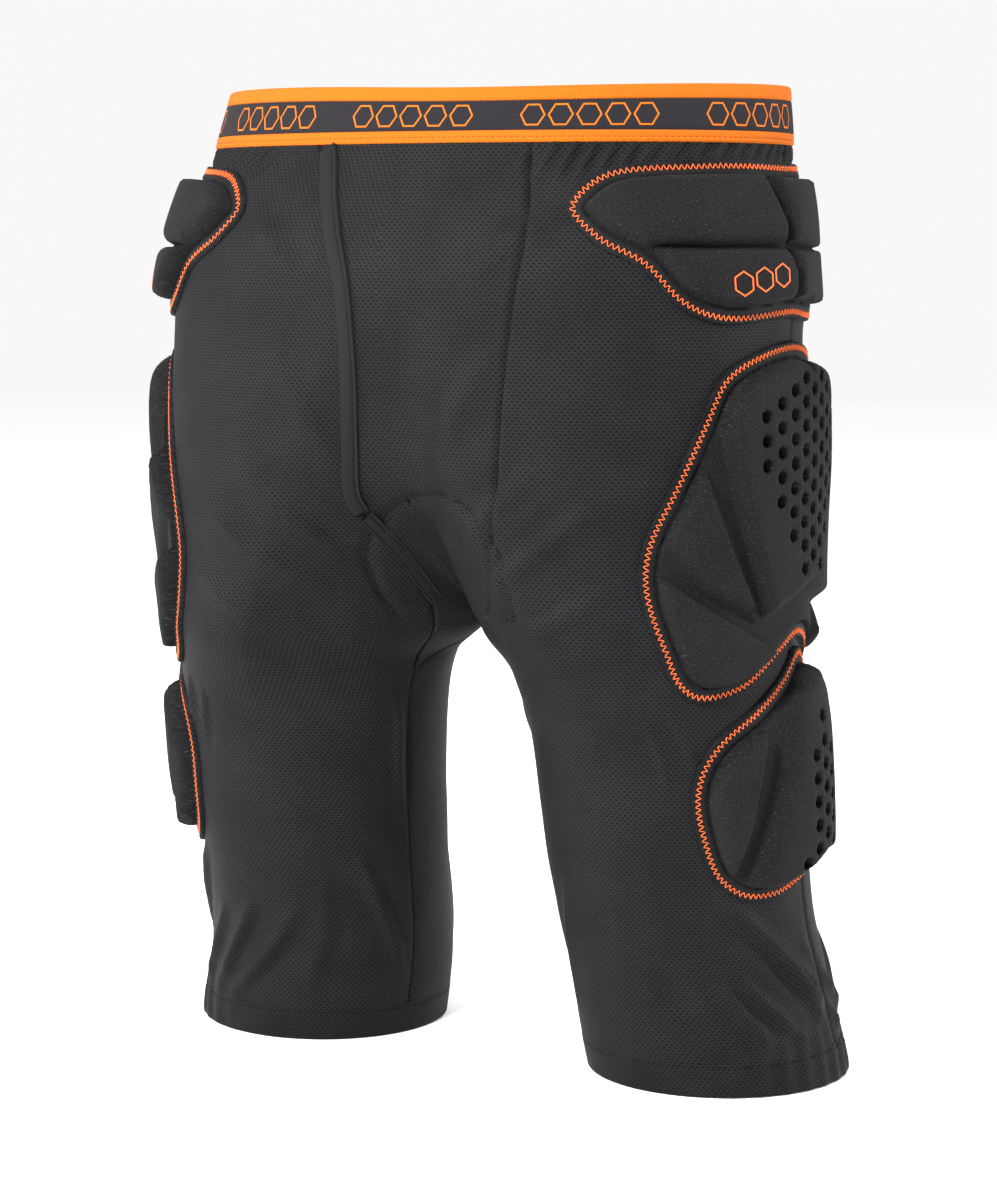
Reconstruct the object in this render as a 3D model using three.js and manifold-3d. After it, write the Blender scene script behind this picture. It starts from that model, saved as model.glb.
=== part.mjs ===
// Padded impact shorts: knitted shell, jacquard waistband, crotch pad and raised protector pads.
// Millimetres. +Z up, the wearer faces -Y, +X is the wearer's left. The hems rest on z = 0.
// The pelvis pieces and the two leg groups are rigid; each leg turns about the hip axis (along X).
import * as THREE from 'three';
import { mergeVertices } from 'three/addons/utils/BufferGeometryUtils.js';
import Module from 'manifold-3d';

const wasm = await Module();
wasm.setup();

// ---------------------------------------------------------------- driving dimensions
const WAIST_TOP = 530;          // top of the waistband
const WAISTBAND_HEIGHT = 30;
const HEM_HEIGHT = 18;
const FABRIC = 1.6;             // thickness of the knitted shell
const WAISTBAND_HALF = 1.2;     // half the thickness of the elastic waistband
const HEM_HALF = 1.2;           // half the thickness of the folded hem
const GAP = 0.3;                // clearance between neighbouring pieces
const CROTCH_HEIGHT = 243;
const CENTRE_Y = 23.2;          // moves the body so that its box is centred on y = 0
const HIP_Y = -35;              // hip axis, before that move
const HIP_Z = 285;
const MIDDLE_Y = HIP_Y + CENTRE_Y;
const HIP_RADIUS = 118;         // the leg fabric inside this cylinder turns with the leg
const INNER_CUT_X = 31;         // fabric nearer the middle than this stays with the pelvis
const PAD_BASE = 1.5;           // underside of a pad's stitched base, above the fabric
const PAD_BASE_TOP = 2.8;
const FOAM_BASE = 3.9;
const FOAM_TOP = 15;
const FLANGE = 14;              // width of base that shows round the foam
const CELL_GAP = 1.2;           // half the width of a channel between foam cells
const LOOP_STEPS = 32;          // facets round one leg
const GUSSET_HALF_WIDTH = 45;
const GUSSET_TOP = 290;
const SEAT_FRONT_Y = 8;         // the seat panel lies behind this
const SIDE_SEAM_Y = 28;         // the side seam of a leg at its hem, running forwards as it rises
const SIDE_SEAM_TILT = 0.16;
const FAR = 300;                // reach of the cutting blocks, beyond the object
const TALL = 600;

// Half-sections of the shell, left side, from the waist down:
// height, centre x, half-width outwards, half-width inwards, centre y, half-depth to the
// front, half-depth to the back, corner exponent outside, corner exponent inside.
const SECTIONS = [
  [530, 0, 160, 160, -11, 102, 108, 2.1, 2.1],
  [500, 0, 165, 165, -19, 106, 114, 2.1, 2.1],
  [470, 6, 166, 120, -28, 110, 121, 2.1, 2.1],
  [430, 20, 158, 90, -37, 112, 128, 2.1, 2.1],
  [380, 40, 138, 78, -39, 112, 130, 2.1, 2.0],
  [340, 55, 123, 80, -38, 111, 127, 2.1, 1.9],
  [305, 69, 108, 84, -37, 110, 120, 2.05, 1.7],
  [275, 80, 97, 88, -34, 109, 108, 2.0, 1.5],
  [243, 92, 86, 92, -31, 106, 92, 2.0, 1.35],
  [222, 100, 79, 76, -32, 95, 86, 2.0, 1.6],
  [190, 107, 75, 71, -29, 81, 80, 2.0, 1.9],
  [150, 110, 73, 69, -25, 76, 76, 2.0, 2.0],
  [120, 112, 70, 70, -20, 73, 74, 2.0, 2.0],
  [90, 113, 69, 69, -13, 70, 71, 2.0, 2.0],
  [45, 118, 68, 68, -1, 68, 68, 2.0, 2.0],
  [0, 125, 70, 67, 3, 66, 66, 2.0, 2.0],
].reverse();

// Pad outlines as closed curves of (distance forwards from the side line, height).
const HIP_OUTLINE = [[60, 490], [112, 484], [131, 466], [118, 449], [95, 436], [78, 418],
  [56, 409], [0, 411], [-45, 409], [-72, 424], [-84, 448], [-80, 478], [-50, 489], [0, 490]];
const THIGH_OUTLINE = [[-8, 399], [30, 394], [52, 383], [66, 360], [84, 326], [98, 298],
  [101, 276], [96, 250], [86, 228], [72, 217], [43, 220], [12, 236], [-10, 243], [-32, 236],
  [-58, 222], [-82, 219], [-97, 232], [-104, 256], [-104, 284], [-94, 312], [-78, 348],
  [-66, 374], [-46, 391]];
const LOWER_OUTLINE = [[-14, 238], [10, 225], [36, 211], [58, 198], [70, 182], [74, 164],
  [70, 140], [62, 120], [48, 109], [28, 107], [5, 112], [-14, 117], [-34, 112], [-56, 108],
  [-72, 122], [-80, 148], [-80, 172], [-66, 194], [-40, 216]];
// Fly tape on the right front: the same coordinates on the right half.
const FLY_UPPER = [[173, 491], [199, 458], [216, 425], [221, 385], [220, 345], [219, 320], [223, 309]];
const FLY_LOWER = [[231, 302], [241, 289], [251, 274], [261, 258]];
const FLY_WIDTH = 8;
const TAPE_BASE = 1.8;
const TAPE_TOP = 3;
// Front seams as x at each height, right and left of the middle.
const FRONT_SEAM_RIGHT = [[-46, 505], [-30, 460], [-18, 420], [-19, 370], [-26, 322], [-24, 306]];
const FRONT_SEAM_LEFT = [[72, 505], [77, 460], [76, 420], [72, 370], [67, 322], [65, 300]];
const SEAT_HALF_WIDTH = 78;

const FABRIC_LOOK = { color: 0x2d2d30, roughness: 0.85, metalness: 0 };
const PAD_LOOK = { color: 0x262627, roughness: 0.9, metalness: 0 };
const BASE_LOOK = { color: 0x222224, roughness: 0.9, metalness: 0 };
const ORANGE_LOOK = { color: 0xff8c28, roughness: 0.8, metalness: 0 };
const TAPE_LOOK = { color: 0x1c1c1e, roughness: 0.8, metalness: 0 };

// ---------------------------------------------------------------- the smooth body surface
function slopes(column) {
  const heights = SECTIONS.map((row) => row[0]);
  const values = SECTIONS.map((row) => row[column]);
  const secants = values.slice(1).map((v, i) => (v - values[i]) / (heights[i + 1] - heights[i]));
  return values.map((v, i) => {
    if (i === 0) return secants[0];
    if (i === values.length - 1) return secants[i - 1];
    const [before, after] = [secants[i - 1], secants[i]];
    if (before * after <= 0) return 0;
    const below = heights[i] - heights[i - 1];
    const above = heights[i + 1] - heights[i];
    const [w1, w2] = [2 * above + below, above + 2 * below];
    return (w1 + w2) / (w1 / before + w2 / after);
  });
}
const SLOPES = SECTIONS[0].map((_, column) => slopes(column));

function sectionAt(z) {
  let i = SECTIONS.length - 2;
  while (i > 0 && z < SECTIONS[i][0]) i -= 1;
  const [low, high] = [SECTIONS[i], SECTIONS[i + 1]];
  const span = high[0] - low[0];
  const t = THREE.MathUtils.clamp((z - low[0]) / span, 0, 1);
  const value = (c) => (1 + 2 * t) * (1 - t) ** 2 * low[c] + t * (1 - t) ** 2 * span * SLOPES[c][i]
    + t * t * (3 - 2 * t) * high[c] + t * t * (t - 1) * span * SLOPES[c][i + 1];
  return {
    cx: value(1), outer: value(2), inner: value(3), cy: value(4),
    front: value(5), back: value(6), cornerOut: value(7), cornerIn: value(8),
  };
}

// Point of the left half at an angle: 0 is the side line, 90 degrees the front, 180 the inseam.
function bodyPoint(z, angle, grow = 0) {
  const s = sectionAt(z);
  const [c, d] = [Math.cos(angle), Math.sin(angle)];
  const a = (c > 0 ? s.outer : s.inner) + grow;
  const b = (d > 0 ? s.front : s.back) + grow;
  const n = c > 0 ? s.cornerOut : s.cornerIn;
  const r = (Math.abs(c / a) ** n + Math.abs(d / b) ** n) ** (-1 / n);
  return new THREE.Vector3(s.cx + r * c, s.cy - r * d + CENTRE_Y, z);
}

// Angles at which the half-section meets the middle plane, in front and behind.
function middleAngles(z, grow = 0) {
  const s = sectionAt(z);
  const reach = Math.min(s.cx / (s.inner + grow), 1);
  const depth = (1 - reach ** s.cornerIn) ** (1 / s.cornerIn);
  return [Math.atan2((s.front + grow) * depth, -s.cx), -Math.atan2((s.back + grow) * depth, -s.cx)];
}

// Angle at a distance forwards from the side line, measured along the fabric.
const ANGLE_STEP = THREE.MathUtils.degToRad(2);
function angleAt(z, distance) {
  const way = Math.sign(distance) || 1;
  let angle = 0;
  let left = Math.abs(distance);
  let here = bodyPoint(z, 0);
  while (angle < Math.PI) {
    const next = bodyPoint(z, way * (angle + ANGLE_STEP));
    const step = next.distanceTo(here);
    if (step >= left) return way * (angle + ANGLE_STEP * left / step);
    left -= step;
    here = next;
    angle += ANGLE_STEP;
  }
  return way * Math.PI;
}

function offsetPoint(z, distance, height) {
  const angle = angleAt(z, distance);
  const turn = 0.01;
  const rise = 1;
  const around = bodyPoint(z, angle + turn).sub(bodyPoint(z, angle - turn));
  const upwards = bodyPoint(z + rise, angle).sub(bodyPoint(z - rise, angle));
  const normal = upwards.cross(around).normalize();
  if (normal.x * Math.cos(angle) - normal.y * Math.sin(angle) < 0) normal.negate();
  return bodyPoint(z, angle).addScaledVector(normal, height);
}

// ---------------------------------------------------------------- solids
function solidOf(positions) {
  const geometry = new THREE.BufferGeometry();
  geometry.setAttribute('position', new THREE.Float32BufferAttribute(positions, 3));
  return weld(geometry);
}

// Welds a geometry into a solid whose faces point out.
function weld(geometry) {
  geometry.deleteAttribute('normal');
  geometry.deleteAttribute('uv');
  const merged = mergeVertices(geometry, 1e-3);
  const index = Array.from(merged.index.array);
  const corner = (i) => new THREE.Vector3().fromBufferAttribute(merged.attributes.position, i);
  const kept = [];
  let volume = 0;
  for (let i = 0; i < index.length; i += 3) {
    const [a, b, c] = index.slice(i, i + 3);
    if (a !== b && b !== c && c !== a) {
      kept.push([a, b, c]);
      volume += corner(a).dot(corner(b).cross(corner(c)));
    }
  }
  const faces = volume < 0 ? kept.map(([a, b, c]) => [b, a, c]) : kept;
  const mesh = new wasm.Mesh({
    numProp: 3,
    vertProperties: new Float32Array(merged.attributes.position.array),
    triVerts: new Uint32Array(faces.flat()),
  });
  return new wasm.Manifold(mesh);
}

function geometryOf(solid) {
  const { vertProperties, triVerts } = solid.getMesh();
  const geometry = new THREE.BufferGeometry();
  geometry.setAttribute('position', new THREE.Float32BufferAttribute(vertProperties, 3));
  geometry.setIndex(Array.from(triVerts));
  geometry.computeVertexNormals();
  return geometry;
}

function mirrored(solid) {
  const { vertProperties, triVerts } = solid.getMesh();
  const flipped = new Float32Array(vertProperties);
  for (let i = 0; i < flipped.length; i += 3) flipped[i] = -flipped[i];
  const turned = Uint32Array.from(triVerts);
  for (let i = 0; i < turned.length; i += 3) [turned[i], turned[i + 1]] = [turned[i + 1], turned[i]];
  return new wasm.Manifold(new wasm.Mesh({ numProp: 3, vertProperties: flipped, triVerts: turned }));
}

// Closed skin between an upper and a lower grid of points. A border is walled where wall(i) says.
function skin(upper, lower, wallSides = () => true) {
  const out = [];
  const quad = (a, b, c, d) => [a, b, c, a, c, d].forEach((p) => out.push(p.x, p.y, p.z));
  const [rows, columns] = [upper.length - 1, upper[0].length - 1];
  for (let i = 0; i < rows; i += 1) {
    for (let j = 0; j < columns; j += 1) {
      quad(upper[i][j], upper[i][j + 1], upper[i + 1][j + 1], upper[i + 1][j]);
      quad(lower[i][j], lower[i + 1][j], lower[i + 1][j + 1], lower[i][j + 1]);
    }
    if (wallSides(i)) {
      quad(upper[i + 1][0], lower[i + 1][0], lower[i][0], upper[i][0]);
      quad(upper[i][columns], lower[i][columns], lower[i + 1][columns], upper[i + 1][columns]);
    }
  }
  for (let j = 0; j < columns; j += 1) {
    quad(upper[0][j], lower[0][j], lower[0][j + 1], upper[0][j + 1]);
    quad(upper[rows][j + 1], lower[rows][j + 1], lower[rows][j], upper[rows][j]);
  }
  return solidOf(out);
}

function grid(rows, columns, place) {
  return Array.from({ length: rows + 1 }, (_, i) => Array.from({ length: columns + 1 },
    (__, j) => place(i / rows, j / columns)));
}

// The left half of the knitted shell, a trouser leg that opens out into half a torso.
const SHELL_HEIGHTS = [HEM_HEIGHT + GAP, 45, 75, 105, 135, 165, 195, 220, CROTCH_HEIGHT, 258,
  275, 300, 325, 355, 385, 415, 445, 475, WAIST_TOP - WAISTBAND_HEIGHT - GAP];
function shellRow(z, grow) {
  const [front, back] = middleAngles(z, grow);
  return Array.from({ length: LOOP_STEPS + 1 }, (_, j) => {
    const point = bodyPoint(z, THREE.MathUtils.lerp(front, back, j / LOOP_STEPS), grow);
    if (z > CROTCH_HEIGHT && (j === 0 || j === LOOP_STEPS)) point.x = 0;
    return point;
  });
}
function shellHalf() {
  const outer = SHELL_HEIGHTS.map((z) => shellRow(z, 0));
  const inner = SHELL_HEIGHTS.map((z) => shellRow(z, -FABRIC));
  return skin(outer, inner, (i) => SHELL_HEIGHTS[i] >= CROTCH_HEIGHT);
}

// A closed band round the body between two heights, lathe-like, with its own thickness.
function band(low, high, half, columns, wholeWaist) {
  const ring = (z, grow) => Array.from({ length: columns }, (_, j) => {
    const angle = 2 * Math.PI * j / columns;
    const point = bodyPoint(z, angle, grow);
    if (wholeWaist && Math.cos(angle) < 0) {
      const twin = bodyPoint(z, Math.PI - angle, grow);
      point.set(-twin.x, twin.y, z);
    }
    return point;
  });
  const rings = [ring(low, half), ring(high, half), ring(high, -half), ring(low, -half)];
  const out = [];
  for (let i = 0; i < 4; i += 1) {
    const [a, b] = [rings[i], rings[(i + 1) % 4]];
    for (let j = 0; j < columns; j += 1) {
      const k = (j + 1) % columns;
      [a[j], b[j], b[k], a[j], b[k], a[k]].forEach((p) => out.push(p.x, p.y, p.z));
    }
  }
  return solidOf(out);
}

// ---------------------------------------------------------------- cutters
function place(geometry, x, y, z) {
  return weld(geometry.translate(x, y, z));
}

// A block between two corners.
function block(low, high) {
  const size = high.map((value, i) => value - low[i]);
  return place(new THREE.BoxGeometry(...size), ...high.map((value, i) => (value + low[i]) / 2));
}

// Everything that turns with the left leg, grown by a clearance.
function legZone(grow) {
  const start = INNER_CUT_X - grow;
  const drum = new THREE.CylinderGeometry(HIP_RADIUS + grow, HIP_RADIUS + grow, FAR - start, 96);
  drum.rotateZ(Math.PI / 2);
  return place(drum, (start + FAR) / 2, MIDDLE_Y, HIP_Z).add(block([start, -FAR, -FAR], [FAR, FAR, HIP_Z]));
}

function prismAlongY(points, from, to) {
  const outline = new THREE.Shape(points.map(([x, z]) => new THREE.Vector2(x, z)));
  const prism = new THREE.ExtrudeGeometry(outline, { depth: to - from, bevelEnabled: false });
  prism.rotateX(Math.PI / 2);
  return place(prism, 0, to, 0);
}

// Extrusion along X of a shape drawn in (y, z), with its middle at x = 0.
function prismAlongX(shape, width) {
  const prism = new THREE.ExtrudeGeometry(shape, { depth: width, bevelEnabled: false });
  const [x, y, z] = [new THREE.Vector3(1, 0, 0), new THREE.Vector3(0, 1, 0), new THREE.Vector3(0, 0, 1)];
  prism.applyMatrix4(new THREE.Matrix4().makeBasis(y, z, x));
  return place(prism, -width / 2, 0, 0);
}

function frontZone(grow) {
  const left = FRONT_SEAM_LEFT.map(([x, z]) => [x + grow, z]);
  const right = FRONT_SEAM_RIGHT.map(([x, z]) => [x - grow, z]);
  const corner = INNER_CUT_X + grow;
  const bottom = GUSSET_TOP - grow;
  const outline = [...right.slice(0, -1), [-corner, right.at(-1)[1]], [-corner, bottom],
    [corner, bottom], [corner, left.at(-1)[1]], ...left.reverse()];
  return prismAlongY(outline, -FAR, MIDDLE_Y);
}
function seatZone(grow) {
  const w = SEAT_HALF_WIDTH + grow;
  return block([-w, SEAT_FRONT_Y, GUSSET_TOP - grow], [w, FAR, TALL]);
}
function legFrontZone(grow) {
  const seam = (z) => new THREE.Vector2(SIDE_SEAM_Y - SIDE_SEAM_TILT * z + grow, z);
  const front = (z) => new THREE.Vector2(-FAR, z);
  return prismAlongX(new THREE.Shape([front(-FAR), seam(-FAR), seam(TALL), front(TALL)]), TALL);
}

// ---------------------------------------------------------------- pads
function smoothOutline(points) {
  const curve = new THREE.CatmullRomCurve3(points.map(([s, z]) => new THREE.Vector3(s, z, 0)), true);
  return curve.getPoints(points.length * 8).slice(0, -1);
}

function insetOutline(points, inset) {
  const area = points.reduce((sum, p, i) => {
    const q = points[(i + 1) % points.length];
    return sum + p.x * q.y - q.x * p.y;
  }, 0);
  const side = Math.sign(area);
  return points.map((p, i) => {
    const before = points[(i + points.length - 2) % points.length];
    const after = points[(i + 2) % points.length];
    const along = after.clone().sub(before).normalize();
    return new THREE.Vector3(p.x - side * along.y * inset, p.y + side * along.x * inset, 0);
  });
}

// Lowest and highest outline height at one distance round the leg.
function heightsAt(outline, s) {
  const found = [];
  outline.forEach((p, i) => {
    const q = outline[(i + 1) % outline.length];
    const crosses = (p.x - s) * (q.x - s) <= 0 && p.x !== q.x;
    if (crosses) found.push(p.y + (q.y - p.y) * (s - p.x) / (q.x - p.x));
  });
  return [Math.min(...found), Math.max(...found)];
}

// A slab over part of an outline, from s = from to s = to, trimmed by the limits given.
function slab(outline, limits, bottom, top, pitch = 20) {
  const { from, to, floor = () => -Infinity, ceiling = () => Infinity } = limits;
  const span = outline.map((p) => p.x);
  const edge = 1.5;
  const low = Math.max(from, Math.min(...span) + edge);
  const high = Math.min(to, Math.max(...span) - edge);
  const columns = Math.max(3, Math.round((high - low) / pitch));
  const rows = 5;
  const surface = (height) => grid(columns, rows, (u, v) => {
    const s = THREE.MathUtils.lerp(low, high, u);
    const [least, most] = heightsAt(outline, s);
    const z = THREE.MathUtils.lerp(Math.max(least, floor(s)), Math.min(most, ceiling(s)), v);
    return offsetPoint(z, s, height);
  });
  return skin(surface(top), surface(bottom));
}

function line(s0, z0, s1, z1) {
  return (s) => z0 + (z1 - z0) * (s - s0) / (s1 - s0);
}

const EVERYWHERE = { from: -200, to: 200 };
const BASE_PITCH = 14;          // spacing of the facets of a pad's base
const PAD_MIDDLE = -8;          // distance of the pads' middle line behind the side line
const mirrorS = (s) => 2 * PAD_MIDDLE - s;
const mirrorLine = (f) => (s) => f(mirrorS(s));

function hipPad() {
  const foam = insetOutline(smoothOutline(HIP_OUTLINE), FLANGE);
  const groove = 449;
  const split = 8;
  const above = () => groove + CELL_GAP;
  const below = () => groove - CELL_GAP;
  return {
    base: slab(smoothOutline(HIP_OUTLINE), EVERYWHERE, PAD_BASE, PAD_BASE_TOP, BASE_PITCH),
    front_upper: slab(foam, { from: split + CELL_GAP, to: 200, floor: above }, FOAM_BASE, FOAM_TOP),
    front_lower: slab(foam, { from: split + CELL_GAP, to: 98, ceiling: below }, FOAM_BASE, FOAM_TOP),
    rear_upper: slab(foam, { from: -200, to: split - CELL_GAP, floor: above }, FOAM_BASE, FOAM_TOP),
    rear_lower: slab(foam, { from: -200, to: split - CELL_GAP, ceiling: below }, FOAM_BASE, FOAM_TOP),
  };
}

function thighPad() {
  const foam = insetOutline(smoothOutline(THIGH_OUTLINE), FLANGE);
  const plateEdge = line(18, 262, 44, 368);
  const rearEdge = mirrorLine(plateEdge);
  const wedge = line(20, 254, 86, 300);
  const rearWedge = mirrorLine(wedge);
  const shifted = (f, by) => (s) => f(s) + by;
  const channel = 10;           // height of the channel under the plate's steep edge
  return {
    base: slab(smoothOutline(THIGH_OUTLINE), EVERYWHERE, PAD_BASE, PAD_BASE_TOP, BASE_PITCH),
    vent_plate: slab(foam, {
      from: mirrorS(41), to: 41, floor: (s) => Math.max(plateEdge(s), rearEdge(s), 250),
    }, FOAM_BASE, FOAM_TOP),
    front_upper: slab(foam, {
      from: 23, to: 78, floor: shifted(wedge, CELL_GAP), ceiling: shifted(plateEdge, -channel),
    }, FOAM_BASE, FOAM_TOP),
    front_lower: slab(foam, { from: 22, to: 200, ceiling: shifted(wedge, -CELL_GAP) }, FOAM_BASE, FOAM_TOP),
    rear_upper: slab(foam, {
      from: mirrorS(78), to: mirrorS(23), floor: shifted(rearWedge, CELL_GAP),
      ceiling: shifted(rearEdge, -channel),
    }, FOAM_BASE, FOAM_TOP),
    rear_lower: slab(foam, {
      from: -200, to: mirrorS(22), ceiling: shifted(rearWedge, -CELL_GAP),
    }, FOAM_BASE, FOAM_TOP),
  };
}

function lowerPad() {
  const foam = insetOutline(smoothOutline(LOWER_OUTLINE), FLANGE);
  const split = 14;
  return {
    base: slab(smoothOutline(LOWER_OUTLINE), EVERYWHERE, PAD_BASE, PAD_BASE_TOP, BASE_PITCH),
    front: slab(foam, { from: split + CELL_GAP, to: 200 }, FOAM_BASE, FOAM_TOP),
    vent_plate: slab(foam, { from: mirrorS(split) + CELL_GAP, to: split - CELL_GAP }, FOAM_BASE, FOAM_TOP),
    rear: slab(foam, { from: -200, to: mirrorS(split) - CELL_GAP }, FOAM_BASE, FOAM_TOP),
  };
}

// Point on the seat at a distance from the middle; the crease in the middle is bridged.
function seatPoint(x, z, height) {
  const bridge = 20;
  const target = Math.max(Math.abs(x), bridge);
  let [low, high] = [-Math.PI / 2, middleAngles(z)[1]];
  for (let i = 0; i < 30; i += 1) {
    const middle = (low + high) / 2;
    if (bodyPoint(z, middle).x > target) low = middle;
    else high = middle;
  }
  return new THREE.Vector3(x, bodyPoint(z, low).y + height, z);
}
function tailbonePad() {
  const [low, high] = [352, 448];
  const layer = (half, bottom, top, inset) => {
    const surface = (height) => grid(5, 6, (u, v) => {
      const z = THREE.MathUtils.lerp(low + inset, high - inset, u);
      return seatPoint(THREE.MathUtils.lerp(-half, half, v) * (0.6 + 0.4 * u), z, height);
    });
    return skin(surface(bottom), surface(top));
  };
  return { base: layer(44, PAD_BASE, PAD_BASE_TOP, 0), foam: layer(34, FOAM_BASE, FOAM_TOP, 12) };
}

// Pad sewn inside the crotch: a strip that follows the inside of the middle seam.
function crotchPad() {
  const width = 44;
  const heights = [335, 305, 285, 268, 256];
  const seam = (z, end) => {
    const angle = middleAngles(z, -FABRIC)[end];
    return new THREE.Vector2(bodyPoint(z, angle, -FABRIC).y, z);
  };
  const run = [...heights.map((z) => seam(z, 0)), ...[...heights].reverse().map((z) => seam(z, 1))];
  const shifted = (by) => run.map((p, i) => {
    const along = run[Math.min(i + 1, run.length - 1)].clone().sub(run[Math.max(i - 1, 0)]).normalize();
    return new THREE.Vector2(p.x - along.y * by, p.y + along.x * by);
  });
  return prismAlongX(new THREE.Shape([...shifted(2), ...shifted(8).reverse()]), width);
}

function ribbon(path, width, bottom, top) {
  const surface = (height) => path.map(([s, z], i) => {
    const [s0, z0] = path[Math.max(i - 1, 0)];
    const [s1, z1] = path[Math.min(i + 1, path.length - 1)];
    const length = Math.hypot(s1 - s0, z1 - z0);
    const across = [(z1 - z0) / length * width / 2, -(s1 - s0) / length * width / 2];
    return [-1, 0, 1].map((k) => offsetPoint(z + k * across[1], s + k * across[0], height));
  });
  return skin(surface(top), surface(bottom));
}

// ---------------------------------------------------------------- assembly
const shorts = new THREE.Group();
function add(name, solid, look) {
  const mesh = new THREE.Mesh(geometryOf(solid), new THREE.MeshStandardMaterial(look));
  mesh.name = name;
  shorts.add(mesh);
}
function addPair(name, solid, look) {
  add(`${name}_left`, solid, look);
  add(`${name}_right`, mirrored(solid), look);
}

const half = shellHalf();
const shell = half.add(mirrored(half));
const kerf = GAP / 2;
const legs = legZone(-kerf);
const leg = shell.intersect(legs);
const wideLegs = legZone(kerf);
const pelvis = shell.subtract(wideLegs).subtract(mirrored(wideLegs));

add('waistband', band(WAIST_TOP - WAISTBAND_HEIGHT, WAIST_TOP, WAISTBAND_HALF, 56, true), ORANGE_LOOK);
const gussetZone = (grow) => {
  const w = GUSSET_HALF_WIDTH + grow;
  return block([-w, -FAR, 0], [w, FAR, GUSSET_TOP + grow]);
};
const upperPelvis = pelvis.subtract(gussetZone(kerf));
add('crotch_gusset', pelvis.intersect(gussetZone(-kerf)), FABRIC_LOOK);
add('front_panel', upperPelvis.intersect(frontZone(-kerf)), FABRIC_LOOK);
add('seat_panel', upperPelvis.intersect(seatZone(-kerf)), FABRIC_LOOK);
const sides = upperPelvis.subtract(frontZone(kerf)).subtract(seatZone(kerf));
const leftHalf = block([0, -FAR, 0], [FAR, FAR, TALL]);
add('hip_panel_left', sides.intersect(leftHalf), FABRIC_LOOK);
add('hip_panel_right', sides.intersect(mirrored(leftHalf)), FABRIC_LOOK);
add('crotch_pad', crotchPad(), PAD_LOOK);
add('fly_tape_upper', mirrored(ribbon(FLY_UPPER, FLY_WIDTH, TAPE_BASE, TAPE_TOP)), TAPE_LOOK);
add('fly_tape_lower', mirrored(ribbon(FLY_LOWER, FLY_WIDTH, TAPE_BASE, TAPE_TOP)), TAPE_LOOK);

addPair('leg_front_panel', leg.intersect(legFrontZone(-kerf)), FABRIC_LOOK);
addPair('leg_back_panel', leg.subtract(legFrontZone(kerf)), FABRIC_LOOK);
addPair('hem', band(0, HEM_HEIGHT, HEM_HALF, LOOP_STEPS, false), FABRIC_LOOK);

const pads = { hip_pad: hipPad(), thigh_pad: thighPad(), lower_pad: lowerPad() };
Object.entries(pads).forEach(([name, cells]) => Object.entries(cells).forEach(([cell, solid]) => {
  addPair(`${name}_${cell}`, solid, cell === 'base' ? BASE_LOOK : PAD_LOOK);
}));
const tailbone = tailbonePad();
add('tailbone_pad_base', tailbone.base, BASE_LOOK);
add('tailbone_pad_foam', tailbone.foam, PAD_LOOK);

export default shorts;
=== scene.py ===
"""Padded impact shorts: fabric, pads, seams and thread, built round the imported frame."""
import math

import bpy
import numpy as np
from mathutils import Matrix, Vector
from mathutils.geometry import delaunay_2d_cdt
from mathutils.kdtree import KDTree


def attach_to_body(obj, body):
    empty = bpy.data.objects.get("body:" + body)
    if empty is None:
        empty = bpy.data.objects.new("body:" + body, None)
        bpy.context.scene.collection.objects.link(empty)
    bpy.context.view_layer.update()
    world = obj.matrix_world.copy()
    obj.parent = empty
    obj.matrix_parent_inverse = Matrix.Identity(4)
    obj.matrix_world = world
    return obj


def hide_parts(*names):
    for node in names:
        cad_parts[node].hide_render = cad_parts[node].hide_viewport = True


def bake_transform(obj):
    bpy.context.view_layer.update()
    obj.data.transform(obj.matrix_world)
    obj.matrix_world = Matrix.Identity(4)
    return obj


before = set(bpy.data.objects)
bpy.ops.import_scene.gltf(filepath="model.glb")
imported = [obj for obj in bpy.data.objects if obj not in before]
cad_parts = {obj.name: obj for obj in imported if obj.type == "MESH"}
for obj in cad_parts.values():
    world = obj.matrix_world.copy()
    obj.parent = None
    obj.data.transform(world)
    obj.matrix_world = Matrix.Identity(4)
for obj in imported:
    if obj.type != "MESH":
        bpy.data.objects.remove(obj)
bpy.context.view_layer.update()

MM = 0.001

# ---- driving dimensions (mm)
WAIST_TOP = 530.0
WAIST_LOW = 500.0
HEM_TOP = 18.0
CROTCH_Z = 243.0
CENTRE_Y = 23.2                 # moves the body so that its box is centred on y = 0
CLOTH = 1.2                     # thickness of the knitted shell
CELL = 2.6                      # spacing of the fabric mesh
PAD_CELL = 2.1                  # spacing of the foam mesh
FLANGE = 9.0                    # width of the stitched base that shows round the foam
PAD_MIDDLE = -8.0               # middle line of the pads, from the side line
HOLE_PITCH = 12.4               # hexagonal air holes, centre to centre
HOLE_RADIUS = 4.0
ZIGZAG_INSET = 3.3
ZIGZAG_PITCH = 3.1
ZIGZAG_HALF = 1.75
THREAD = 0.30                   # thread radius
STITCH = 0.28                   # radius of the black seam thread
GUSSET_LOW = 216.5
GUSSET_TOP = 262.0
SIGN = {"left": 1, "right": -1}  # the wearer's left side lies towards +X

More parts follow.
